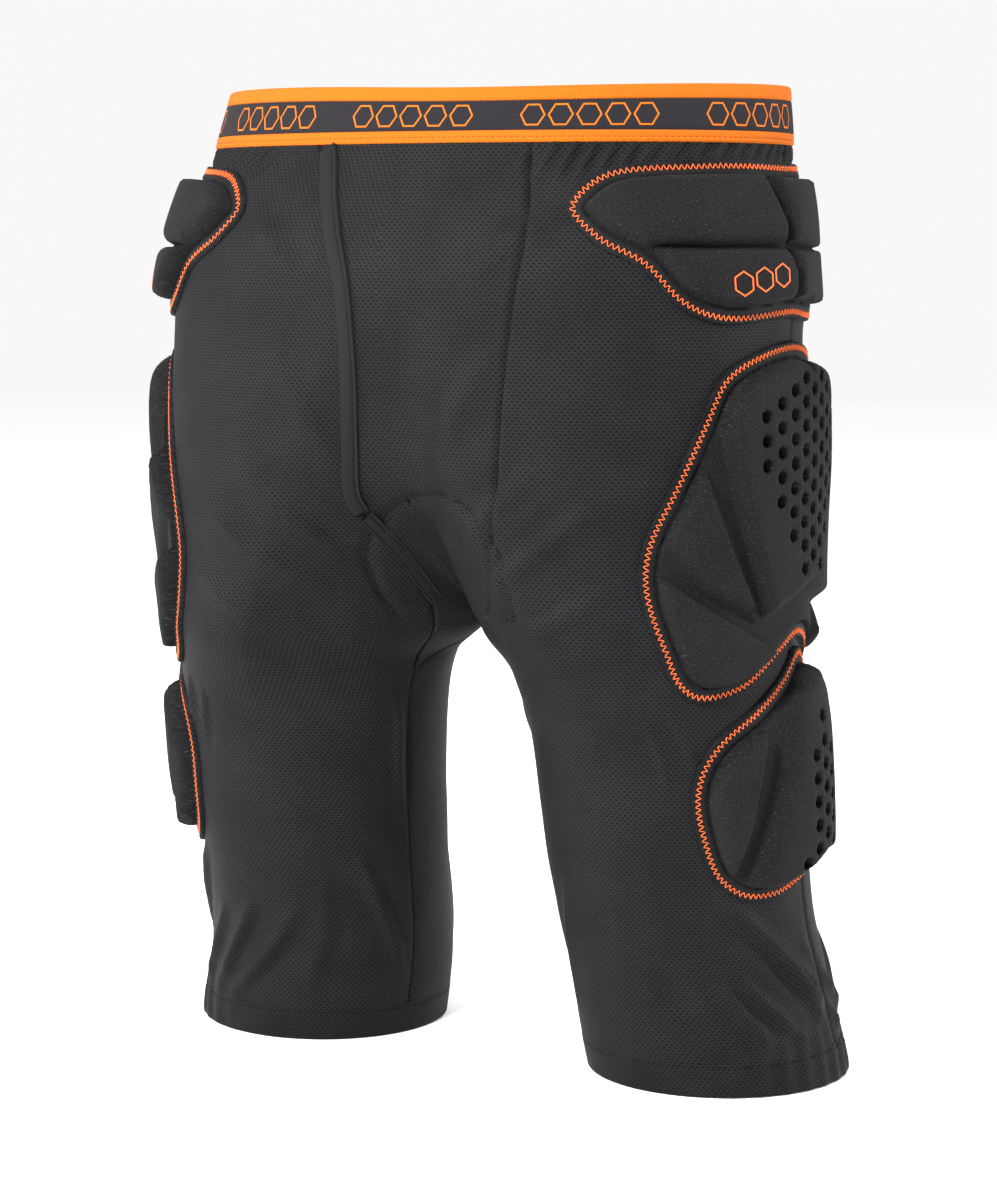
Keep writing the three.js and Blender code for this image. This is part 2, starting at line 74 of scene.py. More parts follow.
# Half-sections of the body: height, centre x, half-width outwards and inwards, centre y,
# half-depth to the front and back, corner exponents outside and inside. Listed from the waist
# down, and turned over so that the heights rise.
SECTIONS = np.array([
    (530, 0, 160, 160, -11, 102, 108, 2.1, 2.1),
    (500, 0, 165, 165, -19, 106, 114, 2.1, 2.1),
    (470, 6, 166, 120, -28, 110, 121, 2.1, 2.1),
    (430, 20, 158, 90, -37, 112, 128, 2.1, 2.1),
    (380, 40, 138, 78, -39, 112, 130, 2.1, 2.0),
    (340, 55, 123, 80, -38, 111, 127, 2.1, 1.9),
    (305, 69, 108, 84, -37, 110, 120, 2.05, 1.7),
    (275, 80, 97, 88, -34, 109, 108, 2.0, 1.5),
    (243, 92, 86, 92, -31, 106, 92, 2.0, 1.35),
    (222, 100, 79, 76, -32, 95, 86, 2.0, 1.6),
    (190, 107, 75, 71, -29, 81, 80, 2.0, 1.9),
    (150, 110, 73, 69, -25, 76, 76, 2.0, 2.0),
    (120, 112, 70, 70, -20, 73, 74, 2.0, 2.0),
    (90, 113, 69, 69, -13, 70, 71, 2.0, 2.0),
    (45, 118, 68, 68, -1, 68, 68, 2.0, 2.0),
    (0, 125, 70, 67, 3, 66, 66, 2.0, 2.0),
], float)[::-1]

# Pad outlines, as closed curves of (distance forwards from the side line, height).
HIP_OUTLINE = [(60, 490), (112, 484), (131, 466), (118, 449), (95, 436), (78, 418), (56, 409),
               (0, 411), (-45, 409), (-72, 424), (-84, 448), (-80, 478), (-50, 489), (0, 490)]
THIGH_OUTLINE = [(-8, 399), (30, 394), (52, 383), (66, 360), (84, 326), (98, 298), (101, 276),
                 (96, 250), (86, 228), (72, 217), (43, 220), (12, 236), (-10, 243), (-32, 236),
                 (-58, 222), (-82, 219), (-97, 232), (-104, 256), (-104, 284), (-94, 312),
                 (-78, 348), (-66, 374), (-46, 391)]
LOWER_OUTLINE = [(-14, 238), (10, 225), (36, 211), (58, 198), (70, 182), (74, 164), (70, 140),
                 (62, 120), (48, 109), (28, 107), (5, 112), (-14, 117), (-34, 112), (-56, 108),
                 (-72, 122), (-80, 148), (-80, 172), (-66, 194), (-40, 216)]

# Angle of the front seam on each half, by height: 0 is the side line, 180 the inseam.
SEAM_LEFT = [(505, 53), (460, 56), (420, 64), (370, 76), (320, 88), (290, 97), (266, 108),
             (250, 130), (235, 152), (215, 162), (150, 165), (0, 160)]
SEAM_RIGHT = [(505, 61), (460, 79), (420, 93), (370, 103), (322, 111), (306, 118), (276, 139),
              (250, 155), (232, 160), (215, 162), (150, 165), (0, 160)]
SEAM_BACK = [(505, -62), (420, -88), (350, -108), (300, -125), (275, -140), (243, -158),
             (228, -185), (215, -198), (150, -195), (0, -200)]
FLY_UPPER = [(173, 498), (199, 458), (216, 425), (221, 385), (220, 345), (219, 320), (223, 309)]
FLY_LOWER = [(226, 306), (241, 289), (251, 274), (262, 258)]
FLY_WIDTH = 9.5
# Edge of the pad sewn inside the crotch, as it shows in front: (x, height).
CROTCH_ARC = [(-24, 240), (-29, 262), (-29, 284), (-22, 300), (-9, 312), (8, 319), (28, 321),
              (47, 317), (62, 304), (70, 288), (72, 272), (68, 256)]
TAILBONE_OUTLINE = [(-20, 352), (20, 352), (29, 358), (43, 436), (36, 448), (-36, 448),
                    (-43, 436), (-29, 358)]
SEAT_BRIDGE = 20.0              # the tailbone pad spans the crease between these x


# ---- the smooth body
def smooth_columns(x, y, at):
    """Monotone cubic through the rows of a table."""
    h = np.diff(x)
    d = np.diff(y) / h
    m = np.zeros(len(x))
    for i in range(1, len(x) - 1):
        if d[i - 1] * d[i] > 0:
            w1, w2 = 2 * h[i] + h[i - 1], h[i] + 2 * h[i - 1]
            m[i] = (w1 + w2) / (w1 / d[i - 1] + w2 / d[i])
    m[0], m[-1] = d[0], d[-1]
    at = np.clip(at, x[0], x[-1])
    i = np.clip(np.searchsorted(x, at, side="right") - 1, 0, len(x) - 2)
    t = (at - x[i]) / h[i]
    rest = (1 - t) ** 2
    return ((1 + 2 * t) * rest * y[i] + t * rest * h[i] * m[i]
            + t * t * (3 - 2 * t) * y[i + 1] + t * t * (t - 1) * h[i] * m[i + 1])


def along(table, z):
    """Value at a height, from a table of (height, value)."""
    rows = np.array(sorted(table), float)
    return smooth_columns(rows[:, 0], rows[:, 1], np.asarray(z, float))


def section(z):
    """Columns of SECTIONS at a height, apart from the height itself."""
    return [smooth_columns(SECTIONS[:, 0], SECTIONS[:, k], z) for k in range(1, 9)]


def smoothstep(low, high, value):
    t = np.clip((value - low) / (high - low), 0, 1)
    return t * t * (3 - 2 * t)


def run_along(points):
    """Distance from the first point to each point of a path."""
    return np.concatenate([[0], np.cumsum(np.linalg.norm(np.diff(points, axis=0), axis=1))])


def unit(v):
    return v / np.maximum(np.linalg.norm(v, axis=-1, keepdims=True), 1e-12)


BRIDGE = 26.0                   # width over which the fabric bridges the middle crease
BRIDGE_LOW = 252.0              # the bridge starts at this height
BRIDGE_GROWTH = 70.0            # and reaches its full width this far above it
BRIDGE_LIFT = 40.0              # most that it stands off the crease


def middle_angles(z):
    """Angles at which the half-section crosses x = 0, in front and behind."""
    cx, _, inner, _, front, back, _, n = section(z)
    reach = np.clip(cx / inner, 0, 1)
    depth = (1 - reach ** n) ** (1 / n)
    return np.arctan2(front * depth, -cx), -np.arctan2(back * depth, -cx)


def body_point(z, angle):
    """Point of the left half, in mm."""
    z, angle = np.broadcast_arrays(np.asarray(z, float), np.asarray(angle, float))
    cx, outer, inner, cy, front, back, n_out, n_in = section(z)
    c, d = np.cos(angle), np.sin(angle)
    a = np.where(c > 0, outer, inner)
    b = np.where(d > 0, front, back)
    n = np.where(c > 0, n_out, n_in)
    r = (np.abs(c / a) ** n + np.abs(d / b) ** n) ** (-1 / n)
    x = cx + r * c
    y = cy - r * d
    # The fabric spans the crease between the two halves.
    width = BRIDGE * np.clip((z - BRIDGE_LOW) / BRIDGE_GROWTH, 0, 1) + 1e-3
    reach = np.clip(cx / inner, 1e-3, 0.98)
    depth = (1 - reach ** n_in) ** (1 / n_in)
    slope = b / inner * (reach / depth) ** (n_in - 1)
    lift = width / 2 * slope * (1 - np.clip(x, 0, width) / width) ** 2
    lift = np.where((x < width) & (c < 0), lift, 0)
    lift = np.where(z > CROTCH_Z, np.minimum(lift, BRIDGE_LIFT), 0)
    return np.stack([x, y - np.sign(d) * lift + CENTRE_Y, z], -1)


# Angle for a distance round the leg, tabulated by height.
TABLE_STEP = 2.0
TABLE_Z = np.arange(0, 531, TABLE_STEP)
TABLE_S = np.arange(-330, 331, 1.0)
TURN_ANGLES = np.radians(np.arange(-200, 201, 2.0))
TURN_LIMIT = math.radians(200)  # a greater angle is counted as a negative one


def angle_table():
    angles = np.radians(np.arange(-180, 181, 1.0))
    rows = []
    for z in TABLE_Z:
        run = run_along(body_point(np.full(len(angles), z), angles))
        rows.append(np.interp(TABLE_S, run - run[len(run) // 2], angles))
    return np.array(rows)


ANGLES = angle_table()


def angle_at(s, z):
    """Angle of the points at a distance s forwards of the side line, read from the table."""
    i = np.clip((z - TABLE_Z[0]) / TABLE_STEP, 0, len(TABLE_Z) - 1.001)
    j = np.clip(s - TABLE_S[0], 0, len(TABLE_S) - 1.001)
    i0, j0 = i.astype(int), j.astype(int)
    u, v = i - i0, j - j0
    low = ANGLES[i0, j0] * (1 - v) + ANGLES[i0, j0 + 1] * v
    high = ANGLES[i0 + 1, j0] * (1 - v) + ANGLES[i0 + 1, j0 + 1] * v
    return low * (1 - u) + high * u


def distance_at(z, angle):
    """Distance forwards of the side line. z holds one height for each row of angle."""
    out = np.zeros(np.shape(angle))
    for i in range(out.shape[0]):
        run = run_along(body_point(np.full(len(TURN_ANGLES), z[i]), TURN_ANGLES))
        out[i] = np.interp(angle[i], TURN_ANGLES, run - run[len(run) // 2])
    return out


def normal_at(z, angle):
    around = body_point(z, angle + 0.01) - body_point(z, angle - 0.01)
    up = body_point(np.asarray(z) + 1, angle) - body_point(np.asarray(z) - 1, angle)
    n = unit(np.cross(around, up))
    out = np.stack([np.cos(angle), -np.sin(angle), 0 * angle], -1)
    return np.where(((n * out).sum(-1) < 0)[..., None], -n, n)


def on_body(s, z, height):
    """Points above the left half's surface, and the surface normals there."""
    s, z, height = np.broadcast_arrays(np.asarray(s, float), np.asarray(z, float),
                                       np.asarray(height, float))
    angle = angle_at(s, z)
    n = normal_at(z, angle)
    return body_point(z, angle) + n * height[..., None], n


# ---- outlines and distances
def smooth_outline(points, step=2.0, samples=16):
    """Closed centripetal curve through given points, evenly spaced."""
    p = np.array(points, float)
    count = len(p)
    out = []
    for i in range(count):
        a, b, c, d = p[i - 1], p[i], p[(i + 1) % count], p[(i + 2) % count]
        t0 = 0.0
        t1 = t0 + np.linalg.norm(b - a) ** 0.5
        t2 = t1 + np.linalg.norm(c - b) ** 0.5
        t3 = t2 + np.linalg.norm(d - c) ** 0.5
        for t in np.linspace(t1, t2, samples, endpoint=False):
            a1 = (t1 - t) / (t1 - t0) * a + (t - t0) / (t1 - t0) * b
            a2 = (t2 - t) / (t2 - t1) * b + (t - t1) / (t2 - t1) * c
            a3 = (t3 - t) / (t3 - t2) * c + (t - t2) / (t3 - t2) * d
            b1 = (t2 - t) / (t2 - t0) * a1 + (t - t0) / (t2 - t0) * a2
            b2 = (t3 - t) / (t3 - t1) * a2 + (t - t1) / (t3 - t1) * a3
            out.append((t2 - t) / (t2 - t1) * b1 + (t - t1) / (t2 - t1) * b2)
    return resample(np.array(out), step)


def resample(points, step, closed=True):
    """Points evenly spaced along a path, about one step apart."""
    ring = np.vstack([points, points[:1]]) if closed else points
    run = run_along(ring)
    count = max(3, int(round(run[-1] / step)))
    at = np.linspace(0, run[-1], count + (0 if closed else 1), endpoint=not closed)
    return np.stack([np.interp(at, run, ring[:, k]) for k in range(ring.shape[1])], -1)


def inside(points, polygon):
    """Whether each point lies in a closed outline."""
    x, y = points[:, 0], points[:, 1]
    hit = np.zeros(len(points), bool)
    for (x0, y0), (x1, y1) in zip(polygon, np.roll(polygon, -1, axis=0)):
        if y0 == y1:
            continue
        cross = (y0 > y) != (y1 > y)
        hit ^= cross & (x < x0 + (y - y0) * (x1 - x0) / (y1 - y0))
    return hit


def edge_distance(points, polygon):
    """Distance to a closed outline: positive inside, negative outside."""
    best = np.full(len(points), 1e9)
    for a, b in zip(polygon, np.roll(polygon, -1, axis=0)):
        ab = b - a
        t = np.clip(((points - a) @ ab) / max(ab @ ab, 1e-12), 0, 1)
        best = np.minimum(best, np.linalg.norm(points - a - t[:, None] * ab, axis=1))
    return np.where(inside(points, polygon), best, -best)


def line_distance(points, line):
    """Distance to an open line, and the share of its length at the nearest place."""
    best = np.full(len(points), 1e9)
    place = np.zeros(len(points))
    run = 0.0
    for a, b in zip(line[:-1], line[1:]):
        ab = b - a
        t = np.clip(((points - a) @ ab) / max(ab @ ab, 1e-12), 0, 1)
        d = np.linalg.norm(points - a - t[:, None] * ab, axis=1)
        place = np.where(d < best, run + t * np.linalg.norm(ab), place)
        best = np.minimum(best, d)
        run += np.linalg.norm(ab)
    return best, place / max(run, 1e-9)


def inset(outline, by):
    """The outline moved inwards, by marching its points along the inward normals."""
    ahead, behind = np.roll(outline, -2, axis=0), np.roll(outline, 2, axis=0)
    t = unit(ahead - behind)
    x, y = outline.T
    area = np.sum(x * np.roll(y, -1) - np.roll(x, -1) * y)
    n = np.stack([-t[:, 1], t[:, 0]], -1) * np.sign(area)
    moved = outline + n * by
    clear = edge_distance(moved, outline) > by - 0.25
    return resample(moved[clear], 2.0)


# ---- meshes
def make(name, verts, faces, uvs=None, smooth_angle=None, wrap=None):
    """A mesh object from mm points. uvs are per vertex, and repeat after the length wrap."""
    mesh = bpy.data.meshes.new(name)
    corners = [tuple(int(i) for i in face) for face in faces]
    mesh.from_pydata((np.asarray(verts) * MM).tolist(), [], corners)
    mesh.update()
    if uvs is not None:
        layer = mesh.uv_layers.new(name="Cloth")
        index = np.zeros(len(mesh.loops), int)
        mesh.loops.foreach_get("vertex_index", index)
        corner = np.array(uvs, float)[index]
        if wrap:
            around = corner[:, 0].reshape(-1, 4)
            crossing = (around.max(axis=1) - around.min(axis=1) > wrap / 2)[:, None]
            corner[:, 0] = np.where(crossing & (around < wrap / 2), around + wrap, around).ravel()
        layer.data.foreach_set("uv", (corner * MM).astype(np.float32).ravel())
    mesh.shade_smooth()
    if smooth_angle:
        mesh.set_sharp_from_angle(angle=math.radians(smooth_angle))
    obj = bpy.data.objects.new(name, mesh)
    bpy.context.scene.collection.objects.link(obj)
    return obj


def flip(verts, side):
    """Points of the left half, mirrored for the right side."""
    out = np.array(verts, float)
    if side == "right":
        out[..., 0] *= -1
    return out


def reverse(faces):
    return [face[::-1] for face in faces]


def turned(faces, side):
    """Faces of the left half, turned over for the mirrored right side."""
    return reverse(faces) if side == "right" else faces


def grid_faces(rows, columns, start=0, close_rows=False, close_columns=False):
    """Faces of a grid of points, which may close on itself either way."""
    faces = []
    for i in range(rows if close_rows else rows - 1):
        a, b = start + i * columns, start + (i + 1) % rows * columns
        for j in range(columns if close_columns else columns - 1):
            k = (j + 1) % columns
            faces.append((a + j, a + k, b + k, b + j))
    return faces


def apply_all(obj):
    """Apply the modifiers of an object."""
    graph = bpy.context.evaluated_depsgraph_get()
    graph.update()
    mesh = bpy.data.meshes.new_from_object(obj.evaluated_get(graph))
    old = obj.data
    obj.modifiers.clear()
    obj.data = mesh
    mesh.name = old.name
    bpy.data.meshes.remove(old)


def thicken(obj, thickness):
    """Thickness inwards from the mesh."""
    solid = obj.modifiers.new("solid", "SOLIDIFY")
    solid.thickness = thickness * MM
    solid.offset = -1.0
    solid.use_even_offset = False
    apply_all(obj)


def triangulate(loops, interior):
    """Points and triangles that fill the first loop, less the holes that the others make.
    Only points that a triangle uses are given back."""
    points = np.vstack(list(loops) + [interior])
    edges = []
    start = 0
    for loop in loops:
        count = len(loop)
        edges += [(start + i, start + (i + 1) % count) for i in range(count)]
        start += count
    found = delaunay_2d_cdt([Vector(p) for p in points], edges, [], 0, 1e-5)
    verts = np.array([tuple(v) for v in found[0]])
    tris = np.array(found[2])
    centre = verts[tris].mean(axis=1)
    keep = inside(centre, loops[0])
    for loop in loops[1:]:
        keep &= ~inside(centre, loop)
    used, tris = np.unique(tris[keep], return_inverse=True)
    return verts[used], tris.reshape(-1, 3)


def lattice(polygon, step):
    """Staggered grid of points over the box of an outline."""
    low, high = polygon.min(axis=0), polygon.max(axis=0)
    rows = np.arange(low[1], high[1], step * math.sqrt(3) / 2)
    points = [(x + (i % 2) * step / 2, y) for i, y in enumerate(rows)
              for x in np.arange(low[0], high[0], step)]
    return np.array(points)


def slab(name, verts2, tris, top, bottom, side, smooth_angle, lay=on_body):
    """A closed solid between two heights over a flat triangulation, laid on the body."""
    upper, _ = lay(verts2[:, 0], verts2[:, 1], top)
    lower, _ = lay(verts2[:, 0], verts2[:, 1], bottom)
    count = len(verts2)
    a, b, c = (verts2[tris[:, k]] for k in range(3))
    area = np.cross(b - a, c - a)
    tris = np.where((area < 0)[:, None], tris[:, ::-1], tris)
    edges = {(int(a), int(b)) for t in tris for a, b in ((t[0], t[1]), (t[1], t[2]), (t[2], t[0]))}
    rim = [(a, b) for a, b in edges if (b, a) not in edges]
    # Distance forwards runs towards -Y on the left side, so the flat triangles face inwards.
    faces = [tuple(t[::-1]) for t in tris] + [tuple(t + count) for t in tris]
    faces += [(a, b, b + count, a + count) for a, b in sorted(rim)]
    uvs = np.vstack([verts2, verts2])
    return make(name, flip(np.vstack([upper, lower]), side), turned(faces, side), uvs, smooth_angle)


def closed_tube(name, points, normals, radius, side, sides=5):
    """A tube round a closed path that lies on a surface with these normals."""
    turn = 2 * math.pi * np.arange(sides) / sides
    tangent = unit(np.roll(points, -1, axis=0) - np.roll(points, 1, axis=0))
    across = unit(np.cross(tangent, normals))
    up = np.cross(across, tangent)
    verts = points[:, None, :] + radius * (np.cos(turn)[None, :, None] * across[:, None, :]
                                           + np.sin(turn)[None, :, None] * up[:, None, :])
    faces = reverse(grid_faces(len(points), sides, close_rows=True, close_columns=True))
    uvs = np.stack([np.repeat(run_along(points), sides), np.tile(turn, len(points))], -1)
    return make(name, flip(verts.reshape(-1, 3), side), turned(faces, side), uvs)


# ---- materials
class Nodes:
    """Short calls for node trees."""

    def __init__(self, name):
        self.material = bpy.data.materials.new(name)
        self.material.use_nodes = True
        self.tree = self.material.node_tree
        self.shader = self.tree.nodes["Principled BSDF"]

    def new(self, kind, **values):
        node = self.tree.nodes.new(kind)
        for key, value in values.items():
            setattr(node, key, value)
        return node

    def link(self, source, target):
        self.tree.links.new(source, target)

    def math(self, operation, a, b=None):
        node = self.new("ShaderNodeMath", operation=operation)
        for i, value in enumerate((a, b)):
            if value is None:
                continue
            if isinstance(value, (int, float)):
                node.inputs[i].default_value = value
            else:
                self.link(value, node.inputs[i])
        return node.outputs[0]

    def add(self, a, b):
        return self.math("ADD", a, b)

    def minus(self, a, b):
        return self.math("SUBTRACT", a, b)

    def times(self, a, b):
        return self.math("MULTIPLY", a, b)

    def over(self, a, b):
        return self.math("DIVIDE", a, b)

    def absolute(self, a):
        return self.math("ABSOLUTE", a)

    def fract(self, a):
        return self.math("FRACT", a)

    def wave(self, a):
        """Sine of a value, brought to 0..1."""
        return self.add(self.times(self.math("SINE", a), 0.5), 0.5)

    def share(self, a, b, of_a):
        """Two values mixed by weight: of_a of the first and the rest of the second."""
        return self.add(self.times(a, of_a), self.times(b, 1 - of_a))

    def uv_mm(self):
        """The cloth's own coordinates in mm."""
        source = self.new("ShaderNodeUVMap", uv_map="Cloth")
        split = self.new("ShaderNodeSeparateXYZ")
        self.link(source.outputs[0], split.inputs[0])
        return tuple(self.times(split.outputs[k], 1000.0) for k in range(2))

    def noise(self, scale, detail=2.0):
        """Noise over the cloth's own coordinates. scale is per metre."""
        node = self.new("ShaderNodeTexNoise")
        node.inputs["Scale"].default_value = scale
        node.inputs["Detail"].default_value = detail
        self.link(self.new("ShaderNodeUVMap", uv_map="Cloth").outputs[0], node.inputs["Vector"])
        return node.outputs[0]

    def step(self, value, low, high):
        """Smooth step of a value: 0 at low, 1 at high."""
        node = self.new("ShaderNodeMapRange", interpolation_type="SMOOTHSTEP")
        node.inputs["From Min"].default_value = low
        node.inputs["From Max"].default_value = high
        self.link(value, node.inputs["Value"])
        return node.outputs[0]

    def mix(self, factor, a, b):
        node = self.new("ShaderNodeMix", data_type="RGBA")
        for socket, value in ((node.inputs[0], factor), (node.inputs[6], a), (node.inputs[7], b)):
            if isinstance(value, (int, float)):
                socket.default_value = value
            elif isinstance(value, tuple):
                socket.default_value = (*value, 1.0)
            else:
                self.link(value, socket)
        return node.outputs[2]

    def bump(self, height, distance, strength=1.0):
        node = self.new("ShaderNodeBump")
        node.inputs["Strength"].default_value = strength
        node.inputs["Distance"].default_value = distance
        self.link(height, node.inputs["Height"])
        return node.outputs[0]

    def finish(self, colour, roughness, normal=None, sheen=0.0, sheen_tint=(0.6, 0.6, 0.65),
               gloss=0.04):
        self.link(colour, self.shader.inputs["Base Color"])
        for socket, value in (("Roughness", roughness), ("Specular IOR Level", gloss),
                              ("Sheen Weight", sheen), ("Sheen Roughness", 0.5),
                              ("Sheen Tint", (*sheen_tint, 1.0))):
            self.shader.inputs[socket].default_value = value
        if normal is not None:
            self.link(normal, self.shader.inputs["Normal"])
        return self.material


def pinholes(n, pitch, row, long_radius, short_radius):
    """Mask of small oval holes in staggered rows: 1 in a hole."""
    u, v = n.uv_mm()
    line = n.over(v, row)
    odd = n.math("MODULO", n.absolute(n.math("FLOOR", line)), 2.0)
    column = n.add(n.over(u, pitch), n.times(odd, 0.5))
    x = n.minus(n.fract(column), 0.5)
    y = n.minus(n.fract(line), 0.5)
    x = n.times(x, pitch / long_radius)
    y = n.times(y, row / short_radius)
    size = n.math("SQRT", n.add(n.times(x, x), n.times(y, y)))
    return n.step(size, 1.25, 0.7)


def knit_material(name, light, dark, holes=(3.0, 1.6, 0.72, 0.36), hole_depth=0.00035):
    """Pinhole mesh knit. holes are (pitch, row spacing, long radius, short radius) in mm."""
    n = Nodes(name)
    mask = pinholes(n, *holes)
    fibre = n.noise(1400.0, 3.0)
    cloud = n.noise(28.0, 2.0)
    shade = n.share(fibre, cloud, 0.7)
    cloth = n.mix(n.step(shade, 0.3, 0.7), dark, light)
    colour = n.mix(mask, cloth, (0.0022, 0.0022, 0.0026))
    height = n.minus(n.times(fibre, 0.4), mask)
    return n.finish(colour, 0.6, n.bump(height, hole_depth), sheen=0.004, gloss=0.05)


def cover_material(name, light, dark):
    """Matt jersey bonded to foam: a fine heather speckle."""
    n = Nodes(name)
    speck = n.noise(1700.0, 4.0)
    fine = n.noise(4200.0, 1.0)
    cloud = n.noise(22.0, 2.0)
    colour = n.mix(n.step(n.share(speck, cloud, 0.75), 0.34, 0.72), dark, light)
    fleck = n.step(n.noise(1150.0, 1.0), 0.60, 0.74)
    colour = n.mix(n.times(fleck, 0.45), colour, (0.045, 0.045, 0.047))
    normal = n.bump(n.share(speck, fine, 0.6), 0.00022, 0.8)
    return n.finish(colour, 0.86, normal, sheen=0.012, gloss=0.06)


def thread_material(name, light, dark):
    """Twisted thread: its plies show as slanted bands."""
    n = Nodes(name)
    u, v = n.uv_mm()
    ply = n.wave(n.add(n.times(u, 7.0), n.times(v, 2.0)))
    colour = n.mix(n.times(ply, 0.8), dark, light)
    return n.finish(colour, 0.5, n.bump(ply, 0.00012, 0.7), sheen=0.004, gloss=0.08)


def hexagon_outline(n, x, y, radius, line):
    """Mask of a hexagon's outline, with x and y in mm from its middle."""
    ax, ay = n.absolute(x), n.absolute(y)
    slant = n.add(n.times(ax, math.sqrt(3) / 2), n.times(ay, 0.5))
    off = n.absolute(n.minus(n.math("MAXIMUM", slant, ay), radius))
    return n.step(off, line, line * 0.55)


def waistband_material(girth):
    """Jacquard elastic: orange edges, a black middle and plain rows of outlined hexagons."""
    n = Nodes("jacquard_elastic")
    u, v = n.uv_mm()
    low_edge, high_edge = 6.0, 22.2
    middle = n.times(n.step(v, low_edge - 0.25, low_edge + 0.25),
                     n.step(v, high_edge + 0.25, high_edge - 0.25))
    motif_pitch, hexagon_pitch, motif_half = girth / 9, 14.6, 36.5
    in_motif = n.minus(n.times(n.fract(n.over(u, motif_pitch)), motif_pitch), motif_pitch / 2)
    column = n.fract(n.over(n.add(in_motif, motif_half), hexagon_pitch))
    in_hexagon = n.minus(n.times(column, hexagon_pitch), hexagon_pitch / 2)
    height = n.minus(v, (low_edge + high_edge) / 2)
    shape = hexagon_outline(n, in_hexagon, height, 5.4, 0.55)
    motif = n.times(shape, n.step(n.absolute(in_motif), motif_half + 0.1, motif_half - 0.1))
    weave = n.times(n.wave(n.times(u, 2 * math.pi / 1.1)), n.wave(n.times(v, 2 * math.pi / 0.8)))
    fibre = n.noise(1500.0, 2.0)
    orange = n.mix(n.share(weave, fibre, 0.55), (0.33, 0.065, 0.004), (0.52, 0.135, 0.010))
    black = n.mix(n.share(weave, fibre, 0.6), (0.006, 0.006, 0.007), (0.026, 0.024, 0.028))
    colour = n.mix(middle, orange, n.mix(motif, black, (0.52, 0.11, 0.008)))
    grooves = n.times(*(n.step(n.absolute(n.minus(v, edge)), 0.0, 0.7)
                        for edge in (low_edge, high_edge)))
    relief = n.add(n.add(weave, n.times(grooves, 1.2)), n.times(motif, 0.8))
    return n.finish(colour, 0.78, n.bump(relief, 0.00025), sheen=0.03, sheen_tint=(0.9, 0.7, 0.6))


def plain_material(name, light, dark, roughness, scale, sheen=0.004):
    n = Nodes(name)
    grain = n.noise(scale, 3.0)
    return n.finish(n.mix(grain, dark, light), roughness, n.bump(grain, 0.0002, 0.5), sheen=sheen)


KNIT = knit_material("mesh_knit", (0.0120, 0.0120, 0.0135), (0.0048, 0.0048, 0.0054))
HEM_KNIT = knit_material("hem_knit", (0.0108, 0.0108, 0.0121), (0.0043, 0.0043, 0.0048),
                         hole_depth=0.0003)
BASE = knit_material("pad_base_knit", (0.0112, 0.0112, 0.0121), (0.0042, 0.0042, 0.0046),
                     holes=(1.7, 1.0, 0.34, 0.22), hole_depth=0.00025)
COVER = cover_material("pad_cover", (0.0118, 0.0118, 0.0124), (0.0038, 0.0038, 0.0041))
ORANGE_THREAD = thread_material("orange_thread", (0.80, 0.165, 0.050), (0.50, 0.080, 0.018))
BLACK_THREAD = thread_material("black_thread", (0.011, 0.011, 0.012), (0.003, 0.003, 0.0035))
RUST_THREAD = thread_material("rust_thread", (0.20, 0.035, 0.008), (0.10, 0.017, 0.005))
TAPE = plain_material("woven_tape", (0.013, 0.013, 0.0145), (0.0055, 0.0055, 0.0060), 0.6, 1900.0)
ORANGE_PRINT = plain_material("orange_print", (0.62, 0.125, 0.035), (0.48, 0.085, 0.020), 0.55,
                              1500.0, 0.0)
LINER = plain_material("brushed_liner", (0.040, 0.040, 0.043), (0.020, 0.020, 0.022), 0.95, 900.0, 0.1)


def attach(obj, material, body=None):
    """Material and slot, and either a body to ride on or the object's transform baked into its mesh."""
    obj.data.materials.clear()
    obj.data.materials.append(material)
    if body:
        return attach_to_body(obj, body)
    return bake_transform(obj)


# ---- fabric
PADS = {
    "hip": smooth_outline(HIP_OUTLINE),
    "thigh": smooth_outline(THIGH_OUTLINE),
    "lower": smooth_outline(LOWER_OUTLINE),
}
SEAMS = {"left": SEAM_LEFT, "right": SEAM_RIGHT}
SIDE_SEAM = -4.0                # angle of the side seam
CALM_WIDTH = 12.0               # the wrinkles die out over this width beside a calm edge
SEAM_DIP = 1.5                  # depth and width of the groove at a seam
SEAM_DIP_WIDTH = 1.5
FLARE = 3.5                     # how far the fabric stands out at the hem
CROTCH_RISE = 1.6               # how far the pad inside lifts the fabric
CROTCH_GROOVE = 1.5             # depth of its stitch line
HEM_RIPPLE = 0.75
SLACK = 0.6                     # slow waves over the whole leg
GATHER = 1.15                   # gathers under the waistband

